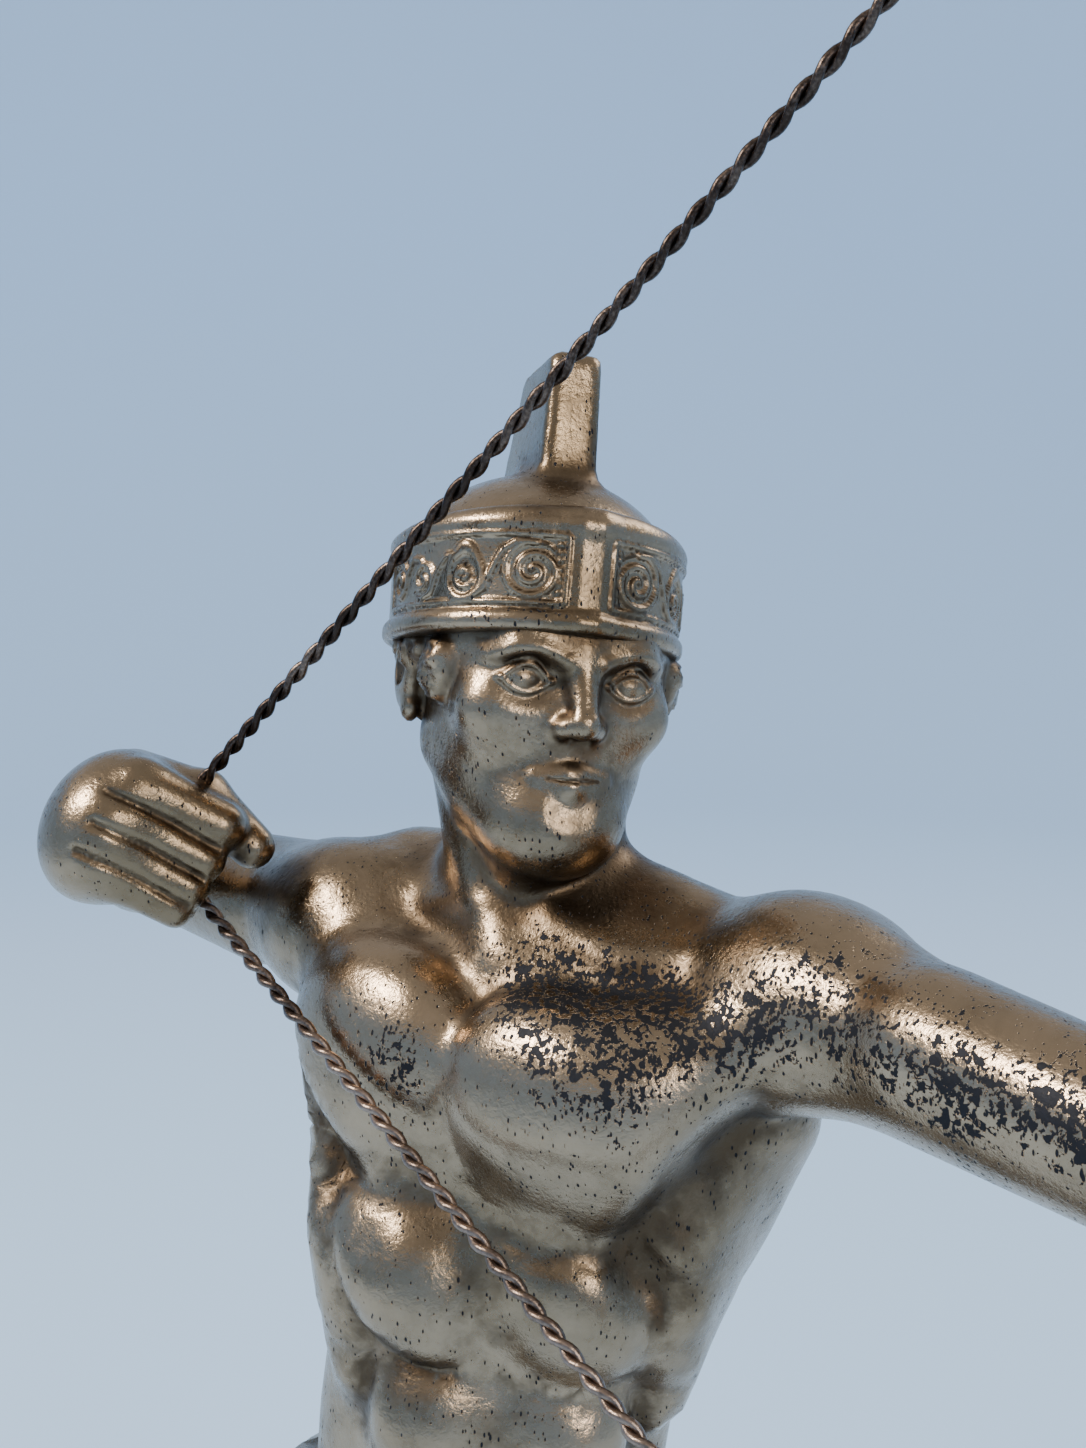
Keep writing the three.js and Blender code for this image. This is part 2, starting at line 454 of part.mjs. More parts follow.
// Thins a closed skin to a wanted number of faces. Each corner carries the planes it
// lies on, and the edges whose corners can meet nearest to those planes close first.
const FIRST_ERROR = 1e-5;
const ERROR_GROWTH = 1.7;
const LEAST_TURN = 0.35;
const LEAST_AREA = 1e-3;
function thinned(points, faces, wanted, mostError = Infinity) {
  const spots = Array.from({ length: points.length / 3 }, (_, i) => vec(points.slice(3 * i, 3 * i + 3)));
  const corners = Array.from({ length: faces.length / 3 }, (_, i) => faces.slice(3 * i, 3 * i + 3));
  const around = spots.map(() => new Set());
  const planes = spots.map(() => new Float64Array(10));
  const normalOf = (a, b, c) => b.clone().sub(a).cross(c.clone().sub(a));
  corners.forEach((tri, f) => {
    const [a, b, c] = tri.map((v) => spots[v]);
    const n = normalOf(a, b, c);
    const area = n.length();
    n.divideScalar(area || 1);
    const p = [n.x, n.y, n.z, -n.dot(a)];
    tri.forEach((v) => {
      around[v].add(f);
      let k = 0;
      for (let i = 0; i < 4; i += 1) {
        for (let j = i; j < 4; j += 1) planes[v][k++] += p[i] * p[j] * area;
      }
    });
  });
  const errorAt = (q, { x, y, z }) => q[0] * x * x + 2 * q[1] * x * y + 2 * q[2] * x * z + 2 * q[3] * x
    + q[4] * y * y + 2 * q[5] * y * z + 2 * q[6] * y + q[7] * z * z + 2 * q[8] * z + q[9];
  const meeting = (a, b) => {
    const q = planes[a].map((v, i) => v + planes[b][i]);
    const middle = spots[a].clone().add(spots[b]).multiplyScalar(0.5);
    const hold = 1e-3 * (q[0] + q[4] + q[7]);
    const matrix = new THREE.Matrix3().set(
      q[0] + hold, q[1], q[2], q[1], q[4] + hold, q[5], q[2], q[5], q[7] + hold,
    );
    const spot = middle.clone().multiplyScalar(hold).sub(new THREE.Vector3(q[3], q[6], q[8]));
    spot.applyMatrix3(matrix.invert());
    if (spot.distanceTo(middle) > spots[a].distanceTo(spots[b])) spot.copy(middle);
    return [Math.max(0, errorAt(q, spot)), spot, q];
  };
  const neighbours = (v) => new Set([...around[v]].flatMap((f) => corners[f]).filter((w) => w !== v));
  const keepsTurn = (v, gone, spot) => [...around[v]].every((f) => {
    const tri = corners[f];
    if (tri.includes(gone)) return true;
    const before = normalOf(...tri.map((w) => spots[w]));
    const after = normalOf(...tri.map((w) => (w === v ? spot : spots[w])));
    if (before.length() < LEAST_AREA) return true;
    return after.length() > LEAST_AREA && before.dot(after) > LEAST_TURN * before.length() * after.length();
  });
  let live = corners.length;
  for (let limit = FIRST_ERROR; live > wanted && limit < mostError; limit *= ERROR_GROWTH) {
    for (let f = 0; f < corners.length && live > wanted; f += 1) {
      for (let e = 0; e < 3 && corners[f]; e += 1) {
        const [a, b] = [corners[f][e], corners[f][(e + 1) % 3]];
        const [error, spot, q] = meeting(a, b);
        if (error > limit) continue;
        const nextTo = neighbours(b);
        const shared = [...neighbours(a)].filter((v) => nextTo.has(v));
        if (shared.length !== 2 || !keepsTurn(a, b, spot) || !keepsTurn(b, a, spot)) continue;
        spots[a].copy(spot);
        planes[a] = q;
        for (const g of around[b]) {
          if (corners[g].includes(a)) {
            corners[g].forEach((v) => v !== b && around[v].delete(g));
            corners[g] = null;
            live -= 1;
          } else {
            corners[g] = corners[g].map((v) => (v === b ? a : v));
            around[a].add(g);
          }
        }
        around[b].clear();
      }
    }
  }
  return [spots.flatMap((p) => p.toArray()), corners.filter(Boolean).flat()];
}

function closedGeometry(points, faces) {
  const geometry = new THREE.BufferGeometry();
  geometry.setAttribute('position', new THREE.BufferAttribute(new Float32Array(points), 3));
  geometry.setIndex(faces);
  return geometry;
}

// Joining and cutting of closed solids.
const wasm = await Module();
wasm.setup();

function solidOf(geometry) {
  const bare = geometry.clone();
  bare.deleteAttribute('normal');
  bare.deleteAttribute('uv');
  const merged = mergeVertices(bare, 1e-4);
  return new wasm.Manifold(new wasm.Mesh({
    numProp: 3,
    vertProperties: new Float32Array(merged.getAttribute('position').array),
    triVerts: new Uint32Array(merged.getIndex().array),
  }));
}

// The geometry of a joined or cut solid: its largest body, without the slivers that
// lie along a cut.
const SLIVER_ERROR = 2e-4;
function geometryOf(solid) {
  const mesh = solid.getMesh();
  const [points, faces] = thinned([...mesh.vertProperties], [...mesh.triVerts], 0, SLIVER_ERROR);
  const owner = new Map();
  const rootOf = (v) => {
    let root = v;
    while (owner.has(root)) root = owner.get(root);
    return root;
  };
  for (let i = 0; i < faces.length; i += 3) {
    for (const v of [faces[i + 1], faces[i + 2]]) {
      const [a, b] = [rootOf(faces[i]), rootOf(v)];
      if (a !== b) owner.set(a, b);
    }
  }
  const bodies = new Map();
  for (let i = 0; i < faces.length; i += 3) {
    const root = rootOf(faces[i]);
    bodies.set(root, [...(bodies.get(root) ?? []), faces[i], faces[i + 1], faces[i + 2]]);
  }
  const largest = [...bodies.values()].reduce((best, body) => (body.length > best.length ? body : best));
  return closedGeometry(points, largest);
}

// The plane of the drawn bow: u runs from the drawing hand to the grip, v is up.
const drawHand = toPart(GRIP_R);
const bowHand = toPart(GRIP_L);
const tipUp = vec(STRING_UP).normalize().multiplyScalar(STRING_UP_LENGTH * MM_PER_LIFE_CM)
  .add(drawHand);
const tipDown = vec(STRING_DOWN).normalize().multiplyScalar(STRING_DOWN_LENGTH * MM_PER_LIFE_CM)
  .add(drawHand);
const planeNormal = tipUp.clone().sub(drawHand).cross(tipDown.clone().sub(drawHand)).normalize();
const aim = bowHand.clone().sub(drawHand).projectOnPlane(planeNormal).normalize();
const rise = planeNormal.clone().cross(aim).normalize();
if (rise.z < 0) rise.negate();
const inPlane = (p) => {
  const step = p.clone().sub(bowHand);
  return new THREE.Vector2(step.dot(aim), step.dot(rise));
};
const bowFrame = new THREE.Matrix4().makeBasis(aim, rise, aim.clone().cross(rise)).setPosition(bowHand);

// Each limb leaves the grip, bends back to where the string is made fast, and ends in
// a short ear that curls forward again.
const LIMB_STEPS = 13;
const EAR_STEPS = 4;
function limbLine(tip) {
  const up = Math.sign(tip.y);
  const bend = new THREE.CubicBezierCurve(
    new THREE.Vector2(0, 0),
    new THREE.Vector2(13, 0.55 * tip.y),
    new THREE.Vector2(0.5 * tip.x, 1.05 * tip.y),
    tip,
  );
  const out = bend.getTangent(1).multiplyScalar(7);
  const end = tip.clone().addScaledVector(out, 0.9).add(new THREE.Vector2(2, 11 * up));
  const ear = new THREE.QuadraticBezierCurve(tip, tip.clone().add(out), end);
  return [...bend.getPoints(LIMB_STEPS), ...ear.getPoints(EAR_STEPS).slice(1)];
}

function bowLine() {
  const [upper, lower] = [limbLine(inPlane(tipUp)), limbLine(inPlane(tipDown))];
  return [...lower.reverse(), ...upper.slice(1)];
}

function bowSolid(grow) {
  const line = bowLine();
  const middle = line.findIndex((p) => p.length() < 1e-6);
  const sides = [[], []];
  line.forEach((p, i) => {
    const before = line[Math.max(0, i - 1)];
    const after = line[Math.min(line.length - 1, i + 1)];
    const run = after.clone().sub(before).normalize();
    const far = Math.abs(i - middle) / (i < middle ? middle : line.length - 1 - middle);
    const half = (BOW_GRIP_DEPTH + (BOW_TIP_DEPTH - BOW_GRIP_DEPTH) * Math.min(1, far * 1.25)) / 2 + grow;
    sides[0].push(new THREE.Vector2(p.x + run.y * half, p.y - run.x * half));
    sides[1].unshift(new THREE.Vector2(p.x - run.y * half, p.y + run.x * half));
  });
  const bevelEnabled = grow === 0;
  const depth = BOW_WIDTH + 2 * (bevelEnabled ? -BOW_BEVEL : grow);
  const geometry = new THREE.ExtrudeGeometry(new THREE.Shape([...sides[0], ...sides[1]]), {
    depth,
    bevelEnabled,
    bevelThickness: BOW_BEVEL,
    bevelSize: BOW_BEVEL,
    bevelOffset: -BOW_BEVEL,
    bevelSegments: 1,
  });
  geometry.translate(0, 0, -depth / 2);
  geometry.applyMatrix4(bowFrame);
  return solidOf(geometry);
}

// A straight rod between two points.
function rod(a, b, radius, sides) {
  const geometry = new THREE.CylinderGeometry(radius, radius, a.distanceTo(b), sides);
  const run = b.clone().sub(a).normalize();
  geometry.applyQuaternion(new THREE.Quaternion().setFromUnitVectors(vec([0, 1, 0]), run));
  geometry.translate(...a.clone().add(b).multiplyScalar(0.5).toArray());
  return solidOf(geometry);
}

const WIRE_SIDES = 8;
const COLLAR_LENGTH = 6.6;
function stringSolid(grow) {
  const radius = WIRE_RADIUS + grow;
  const bend = new THREE.SphereGeometry(radius * 1.02, WIRE_SIDES, 6);
  bend.translate(...drawHand.toArray());
  return rod(drawHand, tipUp, radius, WIRE_SIDES)
    .add(rod(drawHand, tipDown, radius, WIRE_SIDES))
    .add(solidOf(bend));
}

// The turns of wire round the limb, where the string is made fast.
function collarSolid(tip) {
  const line = bowLine();
  const nock = inPlane(tip);
  const i = line.reduce((best, p, n) => (p.distanceTo(nock) < line[best].distanceTo(nock) ? n : best), 0);
  const run = line[i + 1].clone().sub(line[i - 1]).normalize();
  const along = aim.clone().multiplyScalar(run.x).addScaledVector(rise, run.y);
  const across = aim.clone().multiplyScalar(run.y).addScaledVector(rise, -run.x);
  const side = along.clone().cross(across);
  const hole = [BOW_TIP_DEPTH / 2 + 0.7, BOW_WIDTH / 2 + 0.5];
  const ring = roundedRect(hole[0] + 2 * WIRE_RADIUS, hole[1] + 2 * WIRE_RADIUS, 2);
  ring.holes.push(roundedRect(...hole, 0.3));
  const geometry = new THREE.ExtrudeGeometry(ring, {
    depth: COLLAR_LENGTH, bevelEnabled: false, curveSegments: 1,
  });
  geometry.translate(0, 0, -COLLAR_LENGTH / 2);
  geometry.applyMatrix4(new THREE.Matrix4().makeBasis(across, side, along).setPosition(tip));
  return solidOf(geometry);
}

function roundedRect(halfX, halfY, radius) {
  const shape = new THREE.Shape();
  shape.moveTo(halfX, -halfY + radius);
  shape.lineTo(halfX, halfY - radius);
  shape.absarc(halfX - radius, halfY - radius, radius, 0, Math.PI / 2);
  shape.absarc(-halfX + radius, halfY - radius, radius, Math.PI / 2, Math.PI);
  shape.absarc(-halfX + radius, -halfY + radius, radius, Math.PI, 1.5 * Math.PI);
  shape.absarc(halfX - radius, -halfY + radius, radius, 1.5 * Math.PI, 2 * Math.PI);
  return shape;
}

// The plinth: a wide low slab and a smaller, taller one on it, both with rounded edges.
const PLINTH_FOOT_HEIGHT = 7;
const PLINTH_STEP = 5;
function plinthSlab(inset, from, to, bevel) {
  const [halfX, halfY] = [PLINTH_HALF_X - inset - bevel, PLINTH_HALF_Y - inset - bevel];
  const shape = roundedRect(halfX, halfY, PLINTH_CORNER - inset);
  const geometry = new THREE.ExtrudeGeometry(shape, {
    depth: to - from - 2 * bevel, bevelThickness: bevel, bevelSize: bevel, bevelSegments: 2, curveSegments: 3,
  });
  geometry.translate(0, 0, from + bevel);
  return solidOf(geometry);
}

function plinthSolid() {
  return plinthSlab(0, 0, PLINTH_FOOT_HEIGHT, 1.5)
    .add(plinthSlab(PLINTH_STEP, 1, PLINTH_HEIGHT - FIT_GAP, 2.5));
}

const finish = (color, roughness) => new THREE.MeshStandardMaterial({ color, roughness, metalness: 1 });
function named(name, geometry, material) {
  const mesh = new THREE.Mesh(geometry, material);
  mesh.name = name;
  return mesh;
}

const masses = figureMasses();
const skin = traceSkin((x, y, z) => figureDistance(masses, x, y, z));
const figure = solidOf(skin).subtract(stringSolid(FIT_GAP)).subtract(bowSolid(FIT_GAP));
const string = stringSolid(0).add(collarSolid(tipUp)).add(collarSolid(tipDown)).subtract(bowSolid(FIT_GAP));

const statuette = new THREE.Group();
statuette.add(
  named('figure', geometryOf(figure), finish(COLOURS.silver, 0.35)),
  named('bow', geometryOf(bowSolid(0)), finish(COLOURS.bow, 0.45)),
  named('bowstring', geometryOf(string), finish(COLOURS.wire, 0.4)),
  named('base', geometryOf(plinthSolid()), finish(COLOURS.base, 0.5)),
);

export default statuette;
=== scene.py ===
"""Dresses a cast, silvered statuette of a helmeted archer.

The body, the helmet and the cloth are sculpted as soft distance forms in centimetres
of a full-size man, and a mesh is drawn onto them. The wire is two twisted strands.
"""
import logging
import math
from dataclasses import dataclass, field
from enum import Enum
from typing import Callable, Sequence

import bmesh
import bpy
import numpy as np
from mathutils import Matrix, Vector


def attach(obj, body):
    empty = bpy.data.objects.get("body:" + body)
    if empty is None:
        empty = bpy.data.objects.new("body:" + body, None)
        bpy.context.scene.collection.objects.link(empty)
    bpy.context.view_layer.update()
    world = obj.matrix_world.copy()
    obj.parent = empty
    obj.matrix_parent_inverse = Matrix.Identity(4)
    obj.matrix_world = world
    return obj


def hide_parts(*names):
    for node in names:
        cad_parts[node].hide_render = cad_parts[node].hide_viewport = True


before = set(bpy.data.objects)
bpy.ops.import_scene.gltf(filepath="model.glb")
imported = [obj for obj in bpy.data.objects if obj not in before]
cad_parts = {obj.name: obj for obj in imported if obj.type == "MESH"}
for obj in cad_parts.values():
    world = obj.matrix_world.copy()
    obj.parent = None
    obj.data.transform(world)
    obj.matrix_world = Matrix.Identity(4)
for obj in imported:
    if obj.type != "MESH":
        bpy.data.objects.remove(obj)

LOG = logging.getLogger("archer")
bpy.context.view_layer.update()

Array = np.ndarray
Spot = Sequence[float]
Line = Sequence[tuple[float, float]]
Form = Callable[[Array], Array]

METRES_PER_LIFE_CM = 0.00225
PLINTH_HEIGHT = 0.020
FIT_GAP = 0.0003

# Where the back of the head looks.
HEAD_BACK = (-0.82, 0.57, 0)

# Joints of the figure, in life centimetres above the top of the plinth.
HEAD = (0, 0, 165)
CHEST = (1.8, -3, 135)
PELVIS = (-1.5, -6, 96)
SHOULDER_R = (-11.6, -4.2, 146.4)
ELBOW_R = (-41, 0.4, 144.8)
WRIST_R = (-26.9, -13.8, 153.2)
SHOULDER_L = (18, 0.6, 147)
ELBOW_L = (47.5, -8, 146.2)
WRIST_L = (70.5, -8.6, 155)
HIP_L = (7.6, -4.6, 91)
KNEE_L = (19.5, -9, 51)
ANKLE_L = (25.5, -3.6, 9)
HIP_R = (-10.6, -7.4, 91)
KNEE_R = (-21.5, -9.5, 51)
ANKLE_R = (-32, -2.6, 9)
GRIP_R = (-21.9, -12.9, 152.2)
GRIP_L = (77, -14.2, 157)


def to_part(spots: Array) -> Array:
    """Life centimetres to metres in the part's frame."""
    return np.asarray(spots, float) * METRES_PER_LIFE_CM + (0, 0, PLINTH_HEIGHT)


def to_life(spots: Array) -> Array:
    """Metres in the part's frame to life centimetres."""
    return (np.asarray(spots, float) - (0, 0, PLINTH_HEIGHT)) / METRES_PER_LIFE_CM


def melt(a: Array, b: Array, soft: float) -> Array:
    """The union of two distances with a fillet of about `soft` between them."""
    h = np.maximum(soft - np.abs(a - b), 0) / soft
    return np.minimum(a, b) - h * h * soft * 0.25


def carve(a: Array, b: Array, soft: float) -> Array:
    """What is left of distance `a` once `b` is added to its outside."""
    return -melt(-a, b, soft)


@dataclass(frozen=True)
class Limb:
    """A rod with round ends whose radius changes from one end to the other."""

    start: Spot
    end: Spot
    first: float
    last: float

    def __call__(self, p: Array) -> Array:
        """Distance of points from the rod."""
        start = np.array(self.start, float)
        run = np.array(self.end, float) - start
        t = np.clip((p - start) @ run / (run @ run), 0, 1)
        radius = self.first + (self.last - self.first) * t
        return np.linalg.norm(p - start - t[:, None] * run, axis=1) - radius

    def rough(self, shape: bmesh.types.BMesh, place: Matrix) -> None:
        """Adds the rod to a rough mesh as a cone between two balls."""
        start, end = Vector(self.start), Vector(self.end)
        for middle, radius in ((start, self.first), (end, self.last)):
            at = place @ Matrix.Translation(middle)
            bmesh.ops.create_icosphere(shape, subdivisions=2, radius=radius, matrix=at)
        turn = (end - start).to_track_quat("Z", "Y").to_matrix().to_4x4()
        bmesh.ops.create_cone(
            shape, cap_ends=True, segments=12, radius1=self.first, radius2=self.last,
            depth=(end - start).length, matrix=place @ Matrix.Translation((start + end) / 2) @ turn)


@dataclass(frozen=True)
class Egg:
    """An ellipsoid, turned by degrees about x, y and z."""

    centre: Spot
    radii: Spot
    turn: Spot = (0, 0, 0)

    def axes(self) -> Matrix:
        """The egg's own axes."""
        turns = [Matrix.Rotation(math.radians(a), 3, axis) for a, axis in zip(self.turn, "XYZ")]
        return turns[0] @ turns[1] @ turns[2]

    def __call__(self, p: Array) -> Array:
        """Distance of points from the egg, exact enough near its skin."""
        radii = np.array(self.radii, float)
        q = (p - np.array(self.centre, float)) @ np.array(self.axes()) / radii
        k0 = np.linalg.norm(q, axis=1)
        k1 = np.maximum(np.linalg.norm(q / radii, axis=1), 1e-9)
        return k0 * (k0 - 1) / k1

    def rough(self, shape: bmesh.types.BMesh, place: Matrix) -> None:
        """Adds the egg to a rough mesh."""
        size = Matrix.Diagonal((*self.radii, 1))
        own = Matrix.Translation(self.centre) @ self.axes().to_4x4() @ size
        bmesh.ops.create_icosphere(shape, subdivisions=3, radius=1, matrix=place @ own)


@dataclass(frozen=True)
class Block:
    """A box with rounded edges, given by its half sizes."""

    centre: Spot
    half: Spot
    rounding: float

    def __call__(self, p: Array) -> Array:
        """Distance of points from the block."""
        q = np.abs(p - np.array(self.centre, float)) - np.array(self.half, float) + self.rounding
        outside = np.linalg.norm(np.maximum(q, 0), axis=1)
        return outside + np.minimum(q.max(axis=1), 0) - self.rounding

    def rough(self, shape: bmesh.types.BMesh, place: Matrix) -> None:
        """Adds the block to a rough mesh."""
        own = Matrix.Translation(self.centre) @ Matrix.Diagonal((*(2 * h for h in self.half), 1))
        bmesh.ops.create_cube(shape, size=1, matrix=place @ own)


@dataclass(frozen=True)
class Crease:
    """A line pressed into one face of a mass, or raised on it where its depth is negative.

    Args of the fields:
        line: its corners, on the two own axes `across`.
        width: its half width.
        depth: how far it goes in.
        facing: the own axis and the way that its face looks.
    """

    line: Line
    width: float
    depth: float
    facing: tuple[int, int] = (1, -1)

    def __call__(self, q: Array) -> Array:
        """How far the skin goes in at points in the mass's own axes."""
        axis, way = self.facing
        flat = np.delete(q, axis, axis=1)
        near = np.full(len(q), 1e3)
        for start, end in zip(self.line, self.line[1:]):
            run = np.array(end, float) - start
            t = np.clip((flat - start) @ run / (run @ run), 0, 1)
            near = np.minimum(near, np.linalg.norm(flat - start - t[:, None] * run, axis=1))
        faced = np.clip(way * q[:, axis] / 2, 0, 1)
        return self.depth * np.exp(-((near / self.width) ** 2)) * faced


# How far a lock of hair winds, in degrees.
LOCK_TURN = 330


def hook(middle: tuple[float, float], radius: float, start: float) -> list[tuple[float, float]]:
    """A comma that winds inwards.

    Args:
        middle: its centre.
        radius: how wide it starts.
        start: the angle where it starts, in degrees.

    Returns:
        Its corners.
    """
    line = []
    for i in range(8):
        angle = math.radians(start + LOCK_TURN * i / 7)
        out = radius * (1 - 0.6 * i / 7)
        line.append((middle[0] + out * math.cos(angle), middle[1] + out * math.sin(angle)))
    return line


class Side(Enum):
    """A side of the figure; its value is the sign of x there."""

    LEFT = 1
    RIGHT = -1


class Mass:
    """A sculpted mass in its own axes: forms added and carved one after another."""

    def __init__(self, origin: Spot, up: Spot, back: Spot, reach: float, soft: float,
                 size: float = 1) -> None:
        """Sets the axes: z along `up`, x along `back` crossed with it.

        Args:
            origin: where the mass's own zero lies.
            up: direction of its z axis.
            back: a direction near its y axis.
            reach: radius of the ball that holds all of it.
            soft: how softly it melts into the masses before it.
            size: its scale.
        """
        z = Vector(up).normalized()
        x = Vector(back).cross(z).normalized()
        y = z.cross(x)
        self.axes = Matrix((x, y, z)).transposed()
        self.origin = np.array(origin, float)
        self.reach = reach
        self.soft = soft
        self.size = size
        self.twist: tuple[float, float, float] | None = None
        self.steps: list[tuple[Form, float, bool]] = []
        self.creases: list[Crease] = []

    def add(self, form: Form, soft: float = 1.5) -> "Mass":
        """Adds a form with a fillet."""
        self.steps.append((form, soft, False))
        return self

    def cut(self, form: Form, soft: float = 0.8) -> "Mass":
        """Carves a form with a rounded edge."""
        self.steps.append((form, soft, True))
        return self

    def both(self, maker: Callable[[int], Form], soft: float = 1.5) -> "Mass":
        """Adds a form and its twin on the other side."""
        return self.add(maker(1), soft).add(maker(-1), soft)

    def cut_both(self, maker: Callable[[int], Form], soft: float = 0.8) -> "Mass":
        """Carves a form and its twin on the other side."""
        return self.cut(maker(1), soft).cut(maker(-1), soft)

    def crease(self, line: Line, width: float, depth: float,
               facing: tuple[int, int] = (1, -1)) -> "Mass":
        """Presses a line into the finished skin."""
        self.creases.append(Crease(line, width, depth, facing))
        return self

    def crease_both(self, line: Line, width: float, depth: float) -> "Mass":
        """Presses a line and its twin on the other side into the front."""
        return self.crease(line, width, depth).crease([(-x, z) for x, z in line], width, depth)

    def turned(self, degrees: float, high: float, low: float) -> "Mass":
        """Twists the mass about its z axis: not at `high`, by `degrees` at `low`."""
        self.twist = (math.radians(degrees), high, low)
        return self

    def own(self, p: Array) -> Array:
        """Life centimetres to the mass's own axes."""
        q = (p - self.origin) @ np.array(self.axes) / self.size
        if self.twist is None:
            return q
        most, high, low = self.twist
        angle = most * np.clip((high - q[:, 2]) / (high - low), 0, 1)
        c, s = np.cos(angle), np.sin(angle)
        return np.stack([q[:, 0] * c + q[:, 1] * s, q[:, 1] * c - q[:, 0] * s, q[:, 2]], axis=1)

    def __call__(self, p: Array) -> Array:
        """Distance of life points from the mass."""
        out = np.linalg.norm(p - self.origin, axis=1) - self.reach
        near = out <= 4
        if near.any():
            q = self.own(p[near])
            d = np.full(len(q), 1e3)
            for form, soft, cutting in self.steps:
                d = carve(d, form(q), soft) if cutting else melt(d, form(q), soft)
            for crease in self.creases:
                d = d + crease(q)
            out[near] = d * self.size
        return out

    def rough(self, shape: bmesh.types.BMesh) -> None:
        """Adds the mass's solid forms to a rough mesh in life centimetres."""
        place = Matrix.Translation(self.origin) @ (self.axes * self.size).to_4x4()
        for form, _, cutting in self.steps:
            if not cutting and hasattr(form, "rough"):
                form.rough(shape, place)


def between(a: Spot, b: Spot) -> list[float]:
    """The step from one spot to another."""
    return [v - w for v, w in zip(b, a)]


def span(a: Spot, b: Spot) -> float:
    """How far two spots are apart."""
    return math.dist(a, b)


WAIST_TURN = 34
PELVIS_BACK = (-0.58, 0.81, 0)


def chest_mass() -> Mass:
    """Chest, ribs and belly."""
    mass = Mass(CHEST, (0.06, 0.13, 0.99), (-0.06, 0.99, 0), 36, 2.2).turned(WAIST_TURN, 5, -11)
    mass.add(Egg((1.2, 0.6, 0), (13.2, 10.2, 16.5)))
    mass.add(Limb((-7.4, 1.2, 9.5), (9, 1.2, 9.5), 6.4, 6.4), 4)
    mass.both(lambda s: Limb((s * 2.6, 2.6, 15.5), (s * 13, 2.2, 13.5), 2.6, 3.3), 3)
    mass.add(Egg((16.6, 3, 13.5), (5.4, 5, 4.7)), 3)
    mass.add(Limb((12.6, 3.4, 5), (7.4, 2.4, -17), 4, 2.6), 3)
    mass.add(Limb((-9.8, 3.4, 5), (-7.6, 2.4, -17), 3.7, 2.6), 3)
    mass.both(lambda s: Egg((s * 8.6, 8.2, 4.5), (5.2, 3, 8), (0, s * 14, 0)), 3)
    mass.add(Egg((-0.6, -1.4, -18), (9, 8, 15)), 4)
    mass.both(lambda s: Limb((s * 7.4, -1, -12), (s * 7.4, -1, -24), 2.8, 3.2), 3)
    mass.both(lambda s: Egg((s * 6.8, -7.2, 5.4), (8, 4.2, 6.6), (0, s * 14, s * 14)), 1.6)
    mass.add(Limb((8.6, -6.6, 7.4), (15.6, -2.2, 11.4), 3.8, 3.4), 2.5)
    mass.add(Limb((-7.4, -6.4, 7.4), (-11.2, -2.6, 10.4), 3.4, 3), 2.5)
    mass.both(lambda s: Egg((s * 4.5, -7.4, -5.6), (5, 3.8, 5.6), (0, s * 8, 0)), 1.5)
    mass.both(lambda s: Egg((s * 3.7, -7, -14.6), (4.1, 3.4, 4.6)), 1.4)
    mass.both(lambda s: Egg((s * 3.2, -6.2, -23), (3.6, 3.2, 5.6)), 1.4)
    mass.both(lambda s: Egg((s * 9.4, -3.2, -7.4), (2.4, 4.6, 6), (0, s * 12, 0)), 2.4)
    mass.cut(Limb((18.2, -5.6, 6.6), (10.8, -8.4, -3.2), 2.6, 2.2), 1.8)
    mass.cut(Limb((-13.4, -8.6, 2.4), (-7, -11.6, -3.4), 1.2, 1.1), 2.4)
    mass.cut(Limb((0, -12.6, 9), (0, -13.2, -3), 0.8, 0.8), 2)
    mass.cut(Limb((0, -12.9, -4), (0, -11.8, -26), 0.8, 0.8), 2)
    mass.both(lambda s: Limb((s * 3.3, 7.4, -24), (s * 3.4, 9.2, 6), 3, 2.8), 2.4)
    mass.cut(Limb((0, 11.6, -24), (0, 13, 10), 1.2, 1.4), 2.2)
    for row in range(4):
        mass.both(lambda s: Limb(
            (s * (11 - 0.7 * row) + 0.4, -6 + 0.3 * row, -1.6 - 3.8 * row),
            (s * (12.3 - 0.8 * row) + 0.4, -1.6, 1.2 - 3.8 * row), 1.1, 1.2), 2.6)
    mass.crease_both(
        ((0.3, -0.6), (4, -2.2), (8.2, -1.6), (12.4, 3.2), (14.6, 6.4), (17, 9.8)), 0.7, 0.42)
    mass.crease_both(((0, 12), (0, -1)), 0.5, 0.1)
    mass.crease_both(((9.6, -2.6), (9.6, -6), (8.2, -9.2), (4.6, -10.8), (0.2, -10.4)), 0.5, 0.3)
    mass.crease_both(((8, -11.6), (7.6, -16), (5.4, -18.6), (0.2, -19)), 0.5, 0.28)
    mass.crease_both(((2, 15.4), (7, 14.2), (12, 15.6)), 0.8, -0.3)
    mass.crease_both(((2.6, 13.6), (7, 12.4), (12, 13.4)), 0.9, 0.25)
    return mass


def neck_mass() -> Mass:
    """The neck with the two cords that run down to the notch of the breastbone."""
    mass = Mass((0.4, -1.4, 150), (-0.02, 0.04, 1), (-0.6, 0.8, 0), 16, 1.6)
    mass.add(Limb((0.4, 0.8, -4), (-0.4, 1, 12), 5.8, 5.3))
    mass.both(lambda s: Limb((s * 5, 2.4, 8), (s * 1.3, -5.4, -2.4), 1.6, 1.3), 1)
    mass.add(Egg((0, -4.2, 3.6), (2.2, 2, 2.6)), 1.2)
    return mass


# Half of the line between the lips.
MOUTH = ((0, -9.25, -6.62), (0.7, -9.1, -6.58), (1.4, -8.75, -6.6), (2, -8.4, -6.68))


# Middle of the left eye, across and up, and half the width of its lids.
EYE = (3.1, -1.25)
EYE_HALF = 1.4


